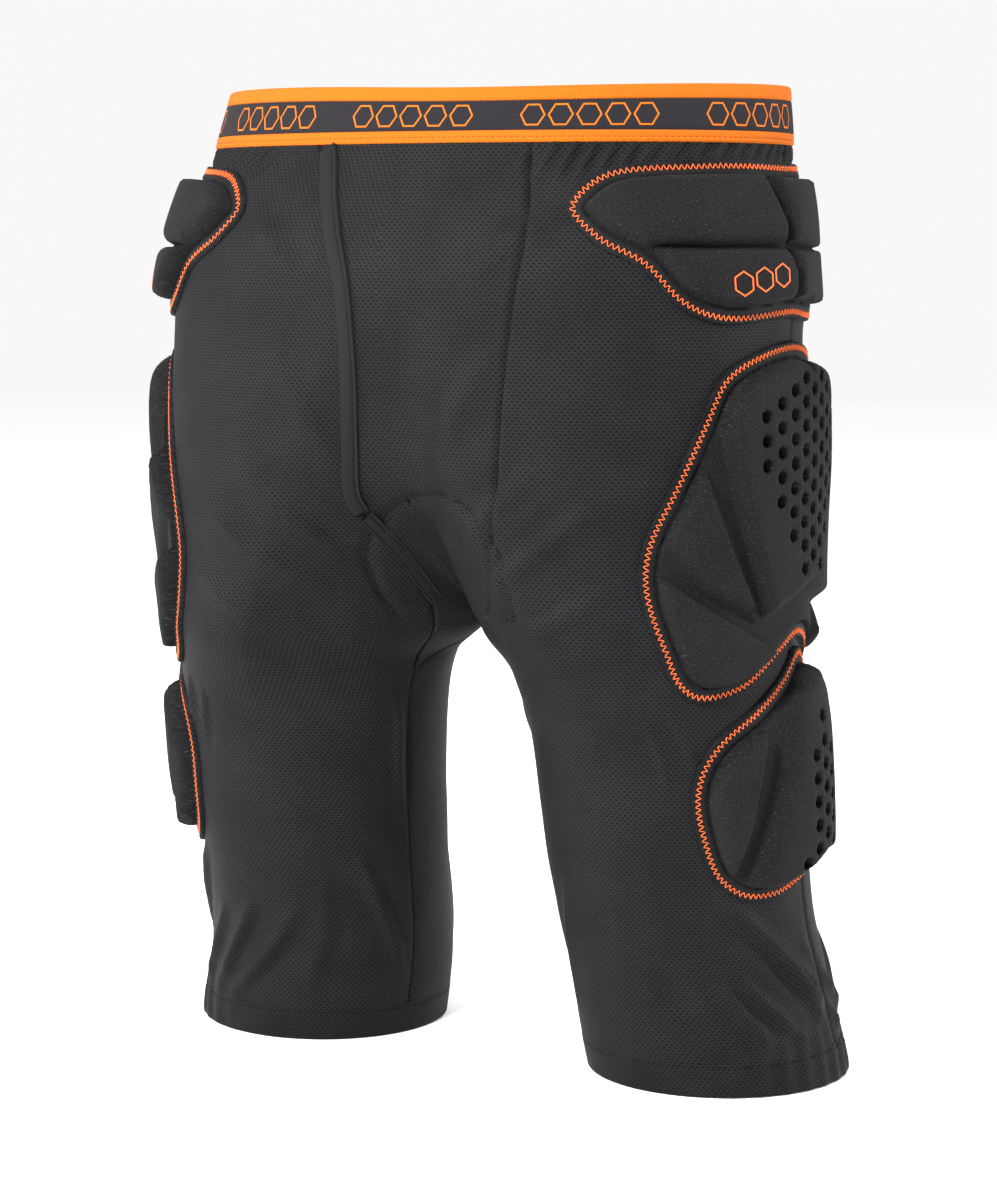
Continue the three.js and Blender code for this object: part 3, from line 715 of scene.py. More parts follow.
# Folds of the fabric: line of (distance, height), width and height of the ridge.
FOLDS = {
    "both": [
        ([(28, 84), (12, 54), (-22, 22)], 3.8, 4.2),
        ([(8, 82), (-10, 54), (-40, 24)], 3.8, 3.0),
        ([(74, 76), (60, 50), (44, 22)], 4.0, 3.0),
        ([(85, 212), (76, 196), (69, 178)], 2.6, 2.4),
        ([(97, 208), (90, 190), (85, 168)], 2.6, 1.8),
        ([(150, 336), (186, 306), (212, 282)], 6.0, 2.2),
        ([(128, 470), (160, 452), (186, 430)], 7.0, 2.0),
        ([(120, 318), (160, 288), (204, 262)], 6.0, 2.6),
        ([(112, 276), (150, 256), (200, 240)], 6.0, 2.2),
        ([(170, 400), (196, 360), (216, 326)], 7.0, 2.0),
        ([(-84, 96), (-58, 60), (-38, 28)], 4.5, 3.0),
        ([(-64, 90), (-38, 60), (-22, 34)], 4.0, 2.6),
        ([(-118, 215), (-150, 200), (-186, 196)], 5.0, 2.4),
        ([(-112, 240), (-146, 232), (-176, 234)], 5.0, 2.4),
        ([(-96, 400), (-118, 372), (-150, 352)], 6.0, 2.2),
        ([(-110, 330), (-140, 312), (-170, 304)], 6.0, 2.2),
        ([(-150, 150), (-164, 100), (-172, 44)], 6.0, 2.4),
    ],
    "left": [
        ([(60, 110), (44, 96), (31, 82), (17, 54), (-4, 24)], 4.0, 5.4),
        ([(58, 68), (43, 48), (22, 24)], 3.6, 3.8),
        ([(111, 56), (90, 38), (70, 22)], 4.2, 2.6),
        ([(205, 206), (214, 186), (218, 160)], 3.6, 2.2),
        ([(150, 120), (158, 80), (170, 34)], 6.0, 2.0),
    ],
    "right": [
        ([(100, 82), (84, 56), (66, 22)], 4.5, 4.0),
        ([(130, 84), (106, 50), (80, 20)], 4.8, 3.4),
        ([(238, 214), (228, 192), (222, 160)], 3.2, 3.4),
        ([(216, 208), (208, 165), (202, 112)], 4.0, 3.2),
        ([(168, 112), (176, 70), (184, 32)], 5.0, 3.6),
        ([(58, 112), (46, 96), (31, 70), (8, 24)], 4.5, 4.0),
        ([(146, 100), (140, 64), (128, 28)], 6.0, 2.4),
    ],
}


def fold(points, line, width, height, valley=0.4):
    """A soft ridge with a valley beside it, along a line that fades at both ends."""
    line = np.array(line, float)
    d, t = line_distance(points, line)
    ahead = line[-1] - line[0]
    sign = np.sign((points - line[0]) @ np.array([-ahead[1], ahead[0]]))
    u = d * sign / width
    shape = np.exp(-u * u) - valley * np.exp(-(u - 1.5) ** 2)
    return height * shape * np.sin(np.pi * np.clip(t, 0, 1)) ** 0.7


def hem_gathers(s, z):
    """Small ripples where the hem's thread pulls, most at the outer side."""
    ripple = np.sin(s / 2.2 + 1.7 * np.sin(s / 31.0) + z / 11)
    reach = smoothstep(50, 22, z) * smoothstep(-4, 6, z) * smoothstep(95, 35, np.abs(s - 4))
    return HEM_RIPPLE * ripple * reach


def wrinkles(s, z, side):
    """How far the fabric stands off its smooth surface, in mm."""
    points = np.stack([s.ravel(), z.ravel()], -1)
    s, z = points[:, 0], points[:, 1]
    sign = SIGN[side]
    out = np.zeros(len(points))
    for line, width, height in FOLDS["both"] + FOLDS[side]:
        out += fold(points, line, width, height)
    out += hem_gathers(s, z)
    slack = (np.sin(s / 37 + z / 52 + sign) * np.sin(z / 41 - s / 66)
             + 0.5 * np.sin(s / 19 - z / 27 + 2 * sign))
    out += SLACK * slack * smoothstep(HEM_TOP, 50, z) * smoothstep(500, 470, z)
    gap = np.min([-edge_distance(points, outline) for outline in PADS.values()], axis=0)
    out *= smoothstep(-1.0, 8.0, gap)
    # Slanting gathers between the hip pad and the waistband.
    gather = np.sin(s / 1.75 - sign * (WAIST_LOW - z) / 2.4 + 1.3 * np.sin(s / 17.0))
    reach = smoothstep(478, 492, z) * smoothstep(175, 110, np.abs(s - 8)) * smoothstep(503, 498, z)
    return out + GATHER * gather * reach * smoothstep(-0.5, 3.5, gap)


def flare(z):
    """The legs stand wider towards the hem."""
    return FLARE * smoothstep(110, 12, z)


def crotch_relief(x, z):
    """The pad inside lifts the fabric, and its stitch line sinks into it."""
    flat = np.stack([x.ravel(), z.ravel()], -1)
    arc = np.array(CROTCH_ARC, float)
    edge, _ = line_distance(flat, arc)
    rise = (CROTCH_RISE * smoothstep(0, 5, edge_distance(flat, arc))
            - CROTCH_GROOVE * np.exp(-(edge / 1.2) ** 2))
    return (rise * smoothstep(238, 256, flat[:, 1])).reshape(x.shape)


def edge_weight(columns, width, both, heights, foot):
    """Calms the wrinkles at the edges where a neighbour can't follow them."""
    t = np.linspace(0, 1, columns)
    first = smoothstep(0, CALM_WIDTH, t * width)
    last = smoothstep(0, CALM_WIDTH, (1 - t) * width)
    low = smoothstep(285, GUSSET_TOP, heights)[:, None]
    calm = (1 - low * (1 - first[None, :])) * (1 - low * (1 - last[None, :]))
    if foot:
        calm = calm * (1 - low)
    for wanted, profile in zip(both, (first, last)):
        if wanted:
            calm = calm * profile[None, :]
    return calm


def seam_dip(columns, width, edges):
    """The fabric dips into the seams at its sides."""
    t = np.linspace(0, 1, columns)
    out = np.zeros(columns)
    for wanted, away in zip(edges, (t, 1 - t)):
        if wanted:
            out -= SEAM_DIP * np.exp(-(away * width / SEAM_DIP_WIDTH) ** 2)
    return out


STILL_WIDTH = 60.0


def patch(z, first, last, side, columns, dips=(True, True), calm=(False, False), still=False,
          foot=False):
    """Grid of fabric between two angles in degrees, the greater one first: mm points and UVs.
    A still patch takes no wrinkles, and its seam dips are those of a patch STILL_WIDTH wide."""
    start, end = np.radians(first), np.radians(last)
    t = np.linspace(0, 1, columns)
    angle = start[:, None] + (end - start)[:, None] * t[None, :]
    zz = np.broadcast_to(z[:, None], angle.shape)
    s = distance_at(z, np.where(angle > TURN_LIMIT, angle - 2 * np.pi, angle))
    width = STILL_WIDTH if still else np.abs(s[:, -1] - s[:, 0]).mean()
    lift = np.zeros(angle.shape)
    if not still:
        weight = edge_weight(columns, width, calm, z, foot)
        lift = wrinkles(s, zz, side).reshape(angle.shape) * weight
    lift = lift + seam_dip(columns, width, dips)[None, :] + flare(zz)
    points = body_point(zz, angle)
    front = (np.sin(angle) > 0) & (zz > 236)
    lift = lift + np.where(front, crotch_relief(points[..., 0] * SIGN[side], zz), 0)
    points = points + normal_at(zz, angle) * lift[..., None]
    middle = (np.abs(np.degrees(angle)) > 100) & (points[..., 0] < 0)
    points[..., 0] = np.where(middle, 0.0, points[..., 0])
    return flip(points, side), np.stack([s, zz], -1)


def cloth_piece(name, patches, side, stands_for, length=None):
    """One fabric piece from patches that share their borders: welded and thickened.
    Its length in mm is that of the first patch's middle column, unless it is given; it is worked out but
    not used."""
    verts, faces, uvs = [], [], []
    start = 0
    for points, uv in patches:
        rows, columns = points.shape[:2]
        verts.append(points.reshape(-1, 3))
        uvs.append(uv.reshape(-1, 2))
        faces += turned(grid_faces(rows, columns, start), side)
        start += rows * columns
    obj = make(name, np.vstack(verts), faces, np.vstack(uvs))
    weld = obj.modifiers.new("weld", "WELD")
    weld.merge_threshold = 0.03 * MM
    apply_all(obj)
    first = patches[0][0]
    length = length or run_along(first[:, first.shape[1] // 2])[-1]
    thicken(obj, CLOTH)
    obj.data.set_sharp_from_angle(angle=math.radians(60))
    attach(obj, KNIT)
    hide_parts(*stands_for)


def fabric():
    """The knitted shell, panel by panel, from under the waistband to the hems."""
    z = np.arange(HEM_TOP - 0.5, WAIST_LOW + 1.5, CELL)
    upper = np.linspace(GUSSET_TOP, WAIST_LOW + 1.5, int((WAIST_LOW - GUSSET_TOP) / CELL))
    top = np.linspace(CROTCH_Z, GUSSET_TOP, 9)
    low = np.linspace(GUSSET_LOW, CROTCH_Z, 12)
    middle = lambda at, end: np.degrees(middle_angles(at)[end])
    back = lambda at: along(SEAM_BACK, at)
    for side in SIGN:
        front = lambda at, table=SEAMS[side]: along(table, at)
        side_line = np.full(len(z), SIDE_SEAM)
        cloth_piece(f"side_front_cloth_{side}", [patch(z, front(z), side_line, side, 112)], side,
                    (f"hip_panel_{side}", f"leg_front_panel_{side}"))
        cloth_piece(f"side_back_cloth_{side}", [patch(z, side_line, back(z), side, 112)], side,
                    (f"leg_back_panel_{side}",))
        half = patch(upper, middle(upper, 0), front(upper), side, 46, (False, True),
                     (True, False), foot=True)
        cloth_piece(f"front_cloth_{side}", [half], side, ("front_panel",))
        half = patch(upper, back(upper), middle(upper, 1), side, 40, (True, False),
                     (False, True), foot=True)
        cloth_piece(f"seat_cloth_{side}", [half], side, ("seat_panel",))
        # Below the crotch the gusset's front and back halves meet at the angle called inner.
        share = (180 - front(CROTCH_Z)) / (360 + back(CROTCH_Z) - front(CROTCH_Z))
        inner = front(low) + share * (360 + back(low) - front(low))
        gusset = [
            patch(top, middle(top, 0), front(top), side, 46, (False, True), still=True),
            patch(top, 360 + back(top), 360 + middle(top, 1), side, 40, (True, False),
                  still=True),
            patch(low, inner, front(low), side, 46, (False, True), still=True),
            patch(low, 360 + back(low), inner, side, 40, (True, False), still=True),
        ]
        cloth_piece(f"gusset_cloth_{side}", gusset, side, ("crotch_gusset",),
                    length=2 * (GUSSET_TOP - GUSSET_LOW))


# ---- seam thread
def beads(name, centres, directions, normals, length, radius, sides=6):
    """Short stitches, one at each centre, whose ends dip into the cloth."""
    along_at = np.array([-0.5, -0.28, 0.28, 0.5]) * length
    size = np.array([0.55, 1.0, 1.0, 0.55]) * radius
    sink = np.array([-1.5, 0.0, 0.0, -1.5]) * radius
    turn = 2 * np.pi * np.arange(sides) / sides
    across = unit(np.cross(directions, normals))
    core = (centres[:, None, :] + directions[:, None, :] * along_at[None, :, None]
            + normals[:, None, :] * sink[None, :, None])
    ring = (np.cos(turn)[None, :, None] * across[:, None, :]
            + np.sin(turn)[None, :, None] * normals[:, None, :])
    verts = core[:, :, None, :] + ring[:, None, :, :] * size[None, :, None, None]
    rings, count = len(along_at), len(centres)
    faces = []
    for start in range(0, count * rings * sides, rings * sides):
        faces += grid_faces(rings, sides, start, close_columns=True)
        faces.append(tuple(start + j for j in range(sides))[::-1])
        faces.append(tuple(start + (rings - 1) * sides + j for j in range(sides)))
    uvs = np.stack([np.tile(np.repeat(along_at, sides), count), np.tile(turn, rings * count)], -1)
    return make(name, verts.reshape(-1, 3), reverse(faces), uvs)


def stitch_row(path, normals, pitch, length, closed=False):
    """Places of the stitches along a path: centres, directions and normals."""
    ring = np.vstack([path, path[:1]]) if closed else path
    cover = np.vstack([normals, normals[:1]]) if closed else normals
    run = run_along(ring)
    at = np.arange(pitch / 2, run[-1] - pitch / 3, pitch)
    pick = lambda values, where: np.stack(
        [np.interp(where, run, values[:, k]) for k in range(3)], -1)
    direction = unit(pick(ring, at + length / 2) - pick(ring, at - length / 2))
    return pick(ring, at), direction, unit(pick(cover, at))


def sew(name, rows, side, length, body=None, material=BLACK_THREAD,
        radius=STITCH):
    """One thread piece from rows of stitches on the left half."""
    centres, directions, normals = (flip(np.vstack(part), side) for part in zip(*rows))
    obj = beads(name, centres, directions, normals, length, radius)
    attach(obj, material, body)


SEAM_THREAD_LIFT = -0.95        # the thread lies in the seam's groove


def seam_threads():
    for side in SIGN:
        rows = []
        for table, low, high in ((SEAMS[side], 20, 498), (SEAM_BACK, 217, 498)):
            z = np.arange(low, high, 1.5)
            angle = np.radians(along(table, z))
            s = distance_at(z, angle[:, None])[:, 0]
            path, normals = on_body(s, z, SEAM_THREAD_LIFT + flare(z))
            rows.append(stitch_row(path, normals, 2.6, 1.7))
        sew(f"seam_thread_{side}", rows, side, 1.7)
        angle = np.linspace(-np.pi, np.pi, 240, endpoint=False)
        z = np.full(240, HEM_TOP - 2.0)
        normals = normal_at(z, angle)
        path = body_point(z, angle) + normals * (0.05 + flare(z))[:, None]
        rows = [stitch_row(path, normals, 3.0, 2.0, closed=True)]
        sew(f"hem_thread_{side}", rows, side, 2.0, f"leg_{side}")


def facing(x, z, height, way):
    """Points of the body seen from the front (way 1) or behind (way -1) at x and z, left half."""
    angles = way * np.linspace(0.35, math.pi, 140)
    grid = body_point(z[:, None], angles[None, :])
    angle = np.array([np.interp(-abs(a), -row, angles) for a, row in zip(x, grid[..., 0])])
    normals = normal_at(z, angle)
    return body_point(z, angle) + normals * np.asarray(height)[..., None], normals


def crotch_thread():
    arc = resample(np.array(CROTCH_ARC, float), 1.0, closed=False)
    for side, sign in SIGN.items():
        part = arc[arc[:, 0] * sign > 0]
        points, normals = facing(np.abs(part[:, 0]), part[:, 1], np.full(len(part), -0.2), 1)
        sew(f"crotch_thread_{side}", [stitch_row(points, normals, 2.3, 1.5)], side, 1.5)


# ---- fly tape
def tape(name, route, profile, stitch_at, stands_for):
    """A tape along a route of (distance, height) on the right half, with edge stitches."""
    line = smooth_line(route, 2.0)
    ahead = unit(np.gradient(line, axis=0))
    across = np.stack([ahead[:, 1], -ahead[:, 0]], -1)
    if across[:, 0].mean() < 0:
        across = -across

    def beside(offset, height):
        at = line + across * offset
        return on_body(at[:, 0], at[:, 1], height)

    verts = np.vstack([beside(offset, height)[0] for offset, height in profile])
    rings, count = len(profile), len(line)
    faces = grid_faces(rings, count, close_rows=True)
    faces.append(tuple(i * count for i in range(rings)))
    faces.append(tuple(i * count + count - 1 for i in range(rings))[::-1])
    run = run_along(line)
    uvs = np.vstack([np.stack([np.full(count, offset), run], -1) for offset, _ in profile])
    obj = make(name, flip(verts, "right"), faces, uvs, 50)
    attach(obj, TAPE, "pelvis")
    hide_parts(*stands_for)
    rows = [stitch_row(*beside(offset, height), 2.4, 1.6) for offset, height in stitch_at]
    sew(f"{name}_thread", rows, "right", 1.6, "pelvis")


def smooth_line(points, step, samples=12):
    """Open curve through given points, evenly spaced."""
    p = np.array(points, float)
    p = np.vstack([2 * p[0] - p[1], p, 2 * p[-1] - p[-2]])
    out = []
    for a, b, c, d in zip(p[:-3], p[1:-2], p[2:-1], p[3:]):
        for t in np.linspace(0, 1, samples, endpoint=False):
            out.append(0.5 * (2 * b + (c - a) * t + (2 * a - 5 * b + 4 * c - d) * t ** 2
                              + (3 * b - a - 3 * c + d) * t ** 3))
    out.append(p[-2])
    return resample(np.array(out), step, closed=False)


def fly():
    """Two lengths of tape: the upper one with one row of stitches, the lower one with two."""
    w = FLY_WIDTH / 2
    flat = [(-w, 0.1), (-w, 0.9), (-w + 0.5, 1.3), (0, 1.35), (1.6, 1.3), (2.1, 0.85), (2.6, 1.2),
            (3.2, 1.9), (3.9, 2.0), (4.5, 1.5), (w, 0.7), (w, 0.1)]
    double = [(-w, 0.1), (-w, 0.9), (-w + 0.5, 1.6), (-3.4, 1.75), (-2.9, 1.2), (-2.4, 1.4),
              (0, 1.5), (1.6, 1.4), (2.1, 1.0), (2.6, 1.3), (3.2, 2.0), (3.9, 2.1), (4.5, 1.6),
              (w, 0.7), (w, 0.1)]
    tape("fly_upper_cloth", FLY_UPPER, flat, [(2.1, 1.05)], ("fly_tape_upper",))
    tape("fly_lower_cloth", FLY_LOWER, double, [(2.1, 1.2), (-2.9, 1.4)], ("fly_tape_lower",))


# ---- bands: waistband and hems
BAND_POINTS = 480


def ring_angles(count):
    """Round the body from the middle of the back."""
    return 2 * np.pi * np.arange(count) / count - np.pi / 2


def waist_ring(z, grow):
    """Ring round both halves at a height, grown outwards."""
    a = ring_angles(BAND_POINTS)
    near = np.where(np.cos(a) >= 0, a, np.pi - a)
    level = np.full(BAND_POINTS, z)
    left, n = body_point(level, near), normal_at(level, near)
    sign = np.where(np.cos(a) >= 0, 1.0, -1.0)
    left[:, 0] *= sign
    n[:, 0] *= sign
    return left + n * grow


def girth():
    ring = waist_ring((WAIST_LOW + WAIST_TOP) / 2, 1.3)
    return np.linalg.norm(ring - np.roll(ring, -1, axis=0), axis=1).sum()


def leg_ring(z, grow, side):
    """Ring round one leg at a height, grown outwards, with the hem's ripples."""
    a = ring_angles(BAND_POINTS)
    level = np.full(BAND_POINTS, z)
    points = body_point(level, a) + normal_at(level, a) * (grow + flare(level))[:, None]
    turn = np.where(a > TURN_LIMIT, a - 2 * np.pi, a)
    s = distance_at(np.array([z]), turn[None, :])[0]
    points += normal_at(level, a) * hem_gathers(s, level)[:, None]
    return flip(points, side)


def band(name, profile, ring, side=None, wave=None):
    """A closed band: profile points of (height, offset) swept round the body."""
    rings = [ring(z, grow) for z, grow in profile]
    steps = np.linalg.norm(rings[0] - np.roll(rings[0], -1, axis=0), axis=1)
    run = np.concatenate([[0], np.cumsum(steps)[:-1]])
    verts = np.vstack(rings)
    if wave is not None:
        verts[:, 2] += wave(verts)
    base = min(z for z, _ in profile)
    uvs = np.vstack([np.stack([run, np.full(BAND_POINTS, z - base)], -1) for z, _ in profile])
    faces = grid_faces(len(profile), BAND_POINTS, close_rows=True, close_columns=True)
    # The angles run clockwise seen from above, except on the mirrored right leg.
    faces = faces if side == "right" else reverse(faces)
    return make(name, verts, faces, uvs, 50, wrap=steps.sum())


def waistband():
    low, high = WAIST_LOW, WAIST_TOP
    outer = [(low, 0.2), (low + 0.4, 1.1), (low + 1.4, 1.6)]
    outer += [(z, 1.55 - 0.45 * math.exp(-((z - low - 2.6) / 0.6) ** 2))
              for z in np.arange(low + 2, low + 5.8, 0.6)]
    outer += [(low + 6, 1.1), (low + 6.6, 1.4)]
    outer += [(z, 1.4) for z in np.arange(low + 9, low + 21, 2.5)]
    outer += [(low + 21.8, 1.4), (low + 22.3, 1.1), (low + 22.9, 1.6)]
    outer += [(z, 1.65) for z in np.arange(low + 24.5, high - 1.4, 1.6)]
    outer += [(high - 0.9, 1.4), (high - 0.2, 0.7), (high, 0.0)]
    inner = [(high - 0.3, -0.7), (high - 1.2, -1.1), (low + 15, -1.2), (low + 1.2, -1.2),
             (low + 0.3, -0.7)]
    around = lambda v: np.sin(2 * np.arctan2(v[:, 1], v[:, 0]) + 0.7)
    lift = lambda v: 1.4 * around(v) * smoothstep(low, high, v[:, 2])
    obj = band("waistband_elastic", outer + inner, waist_ring, wave=lift)
    attach(obj, waistband_material(girth()), "pelvis")
    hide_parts("waistband")
    path, inside_ring = waist_ring(low + 2.6, 1.2), waist_ring(low + 2.6, 0.2)
    path[:, 2] += lift(path)
    inside_ring[:, 2] = path[:, 2]
    rows = [stitch_row(path, unit(path - inside_ring), 3.3, 2.1, closed=True)]
    sew("waistband_thread", rows, None, 2.1, "pelvis", RUST_THREAD, 0.2)


def hem(side):
    top = HEM_TOP
    outer = [(0, -0.1), (0.2, 0.1), (0.8, 0.25)] + [(z, 0.3) for z in np.arange(2.4, top - 3.4, 1.5)]
    outer += [(top - 2.6, 0.2), (top - 2.0, -0.15), (top - 1.4, 0.15), (top - 0.4, 0.12),
              (top + 0.5, 0.02), (top + 0.5, -0.6)]
    inner = [(top - 2, -1.5), (9, -1.6), (1.4, -1.5), (0.3, -1.0), (0, -0.5)]
    obj = band(f"hem_fold_{side}", outer + inner, lambda z, grow: leg_ring(z, grow, side), side)
    attach(obj, HEM_KNIT, f"leg_{side}")
    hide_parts(f"hem_{side}")


# ---- pads
BASE_TOP = 2.6                  # heights above the body
BASE_BOTTOM = 0.15
FOAM_BOTTOM = 1.5
MOAT = 5.6                      # level of the channels between the foam cells
FOAM_TOP = 15.0
CELL_RISE = FOAM_TOP - MOAT
AWAY = 9.0                      # slope of a cell's side that lies outside the foam
RIM_CLEAR = 1.3                 # the foam's inner points keep this far from its rim
HOLE_CLEAR = 1.4                # and this far from its holes
LIP = 0.6                       # width and depth of the rounding at a hole

# Lines where the foam folds sharply. They bound the cells, and the mesh follows them.
PLATE_EDGE = [(64, 410), (58, 384), (57, 345), (33, 257)]
WEDGE_EDGE = [(72, 374), (69, 345), (64, 326), (37, 254)]
WEDGE_FOOT = [(37, 254), (72, 273), (90, 306)]
LOWER_EDGE = [(108, 300), (88, 281), (74, 270), (59, 260), (35, 246)]
FRONT_EDGE = [(30, 236), (32, 208), (39, 174), (44, 152), (56, 116)]
RIDGES = {
    "thigh": [WEDGE_EDGE, PLATE_EDGE, WEDGE_FOOT, LOWER_EDGE],
    "hip": [[(40, 505), (28, 480), (15, 457), (12, 447)], [(20, 404), (8, 425), (7, 434), (12, 447)],
            [(12, 447), (60, 446), (92, 446), (122, 442)], [(12, 447), (-40, 446), (-120, 445)]],
    "lower": [FRONT_EDGE],
    "tailbone": [],
}


def shoulder(d, width):
    """Quarter-round rise from 0 to 1 over a width."""
    t = np.clip(d / width, 0, 1)
    return np.sqrt(1 - (1 - t) ** 2)


def smooth_min(values, soft):
    """Least of the values, rounded where two of them meet."""
    stacked = np.array(values)
    low = stacked.min(axis=0)
    return low - soft * np.log(np.exp(-(stacked - low) / soft).sum(axis=0))


def cell_rise(points, sides, top, soft=1.3):
    """Height of a moulded cell above the channels. sides are (line, slope), end to end round
    it. A negative slope stands for a round shoulder of that width."""
    ring = np.vstack([np.array(line[:-1], float) for line, _ in sides])
    rises = []
    for line, slope in sides:
        d = line_distance(points, np.array(line, float))[0]
        rises.append(slope * d if slope > 0 else (CELL_RISE + 1) * shoulder(d, -slope))
    rises.append(top)
    return np.where(inside(points, ring), np.clip(smooth_min(rises, soft), 0, None), 0)


def hip_cells(points):
    top = CELL_RISE - 1.2 - 3.6 * smoothstep(18, -24, points[:, 0])
    cells = [
        [([(40, 505), (28, 480), (15, 457), (14, 448)], -9),
         ([(14, 448), (60, 446), (92, 446), (122, 442)], -12),
         ([(122, 442), (170, 442), (170, 505), (40, 505)], AWAY)],
        [([(110, 442), (92, 445), (60, 445), (15, 446)], -12),
         ([(15, 446), (7, 434), (8, 425), (20, 404)], -9),
         ([(20, 404), (20, 380), (110, 380), (110, 442)], AWAY)],
        [([(-120, 446), (-40, 446), (10, 448)], -12), ([(10, 448), (11, 458), (24, 481), (37, 505)], -9),
         ([(37, 505), (-120, 505), (-120, 446)], AWAY)],
        [([(15, 404), (4, 425), (3, 434), (11, 446)], -9), ([(11, 446), (-40, 445), (-120, 445)], -12),
         ([(-120, 445), (-120, 380), (15, 380), (15, 404)], AWAY)],
    ]
    return np.max([cell_rise(points, cell, top, 0.9) for cell in cells], axis=0)


def mirrored_front(points):
    """Rear points folded onto the front half of a pad."""
    return np.stack([PAD_MIDDLE + np.abs(points[:, 0] - PAD_MIDDLE), points[:, 1]], -1)


def thigh_cells(points):
    p = mirrored_front(points)
    s, z = p[:, 0], p[:, 1]
    plate = [(PLATE_EDGE, 1.5), ([(33, 257), (-8, 270)], 1.6),
             ([(-8, 270), (-60, 270), (-60, 410), (64, 410)], AWAY)]
    wedge = [(WEDGE_EDGE, 3.4), (WEDGE_FOOT, 1.15),
             ([(90, 306), (112, 340), (84, 400), (72, 374)], AWAY)]
    lower = [(LOWER_EDGE, 2.8), ([(35, 246), (10, 225), (60, 195), (125, 230), (108, 300)], AWAY)]
    behind = 2.8 * smoothstep(PAD_MIDDLE - 4, PAD_MIDDLE - 40, points[:, 0])
    from_ridge = (s - 37) * 0.935 - (z - 256) * 0.353
    below_ridge = (s - 36) * 0.6 - (z - 247) * 0.8
    return np.max([
        cell_rise(p, plate, np.full(len(p), CELL_RISE)),
        cell_rise(p, wedge, CELL_RISE - 0.2 - 0.19 * from_ridge - behind, 0.6),
        cell_rise(p, lower, CELL_RISE - 0.6 - 0.13 * below_ridge - behind, 0.7),
    ], axis=0)


def lower_cells(points):
    p = mirrored_front(points)
    s, z = p[:, 0], p[:, 1]
    front = [(FRONT_EDGE, 3.0), ([(56, 116), (60, 90), (100, 90), (100, 236), (30, 236)], AWAY)]
    plate = [([(28, 250), (22, 208), (30, 172), (51, 116)], 1.0),
             ([(51, 116), (51, 90), (-60, 90), (-60, 250), (28, 250)], AWAY)]
    crest = np.clip(s - 57 - (z - 163) * 0.18, 0, None)
    return np.max([
        cell_rise(p, front, CELL_RISE - 0.2 - 0.06 * np.clip(s - 32, 0, None) - 0.5 * crest, 0.9),
        cell_rise(p, plate, np.full(len(p), CELL_RISE), 1.8),
    ], axis=0)


def tailbone_cells(points):
    """Four level ribs."""
    p = np.stack([np.abs(points[:, 0]), points[:, 1]], -1)
    edges = (330.0, 378.0, 400.0, 422.0, 470.0)
    top = np.full(len(p), CELL_RISE - 1.5)
    ribs = []
    for low, high in zip(edges[:-1], edges[1:]):
        sides = [([(-60, low), (60, low)], -8), ([(60, low), (60, high)], AWAY),
                 ([(60, high), (-60, high)], -8), ([(-60, high), (-60, low)], AWAY)]
        ribs.append(cell_rise(p, sides, top, 0.9))
    return np.max(ribs, axis=0)


CELLS = {"hip": hip_cells, "thigh": thigh_cells, "lower": lower_cells,
         "tailbone": tailbone_cells}
PAD_OUTLINES = {**PADS, "tailbone": smooth_outline(TAILBONE_OUTLINE)}


def on_seat(x, z, height):
    """Points above the seat at x and z, bridging the crease in the middle."""
    reach = np.maximum(np.abs(x), SEAT_BRIDGE)
    points, normals = facing(reach, z, np.zeros(len(x)), -1)
    points[:, 0] = x
    normals[:, 0] *= np.clip(x / SEAT_BRIDGE, -1, 1)
    normals = unit(normals)
    return points + normals * np.asarray(height)[..., None], normals


def base_height(points, outline):
    """Rolled edge, sunk stitch line, flat strip and a piping groove at the foam."""
    d = edge_distance(points, outline)
    roll = 2.5 * shoulder(d, 1.5)
    sink = -0.9 * np.exp(-((d - ZIGZAG_INSET) / 1.4) ** 2)
    strip = 0.35 * np.exp(-((d - 6.3) / 1.1) ** 2)
    groove = -1.2 * np.exp(-((d - FLANGE + 0.3) / 0.7) ** 2)
    return 0.35 + roll + sink + strip + groove


def foam_height(kind, points, outline):
    """Steep wall at the rim, channels, and the cells between them."""
    d = edge_distance(points, outline)
    wall = BASE_TOP - 0.6 + (FOAM_TOP - BASE_TOP + 1.8) * shoulder(d - FLANGE, 7.5)
    return smooth_min([wall, MOAT + CELLS[kind](points)], 0.7)


def ridge_points(kind):
    """Mesh points along the ridges and beside them, at the back too where the pad repeats."""
    out = [np.zeros((0, 2))]
    for line in RIDGES[kind]:
        path = resample(np.array(line, float), 1.3, closed=False)
        ahead = unit(np.gradient(path, axis=0))
        across = np.stack([-ahead[:, 1], ahead[:, 0]], -1)
        for offset in (-2.4, -1.0, 0.0, 1.0, 2.4):
            out.append(path + across * offset)
    out = np.vstack(out)
    if kind == "hip":
        return out
    behind = np.stack([2 * PAD_MIDDLE - out[:, 0], out[:, 1]], -1)
    return np.vstack([out, behind])


def pad_base(kind, side, name, body, lay):
    """The stitched base: a fine mesh where it shows, a coarse one under the foam."""
    outline = PAD_OUTLINES[kind]
    grid = lattice(outline, 1.7)
    d = edge_distance(grid, outline)
    strip = grid[(d > 1.4) & (d < FLANGE + 4)]
    inner = lattice(outline, 6.0)
    inner = inner[edge_distance(inner, outline) > FLANGE + 6]
    edge = resample(outline, 1.6)
    rims = [inset(edge, x) for x in (0.3, 0.8)]
    verts, tris = triangulate([edge], np.vstack([strip, inner] + rims))
    obj = slab(f"{kind}_flange{name}", verts, tris, base_height(verts, outline),
               np.full(len(verts), BASE_BOTTOM), side, 60, lay)
    attach(obj, BASE, body)
    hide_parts(f"{kind}_pad_base{name}")


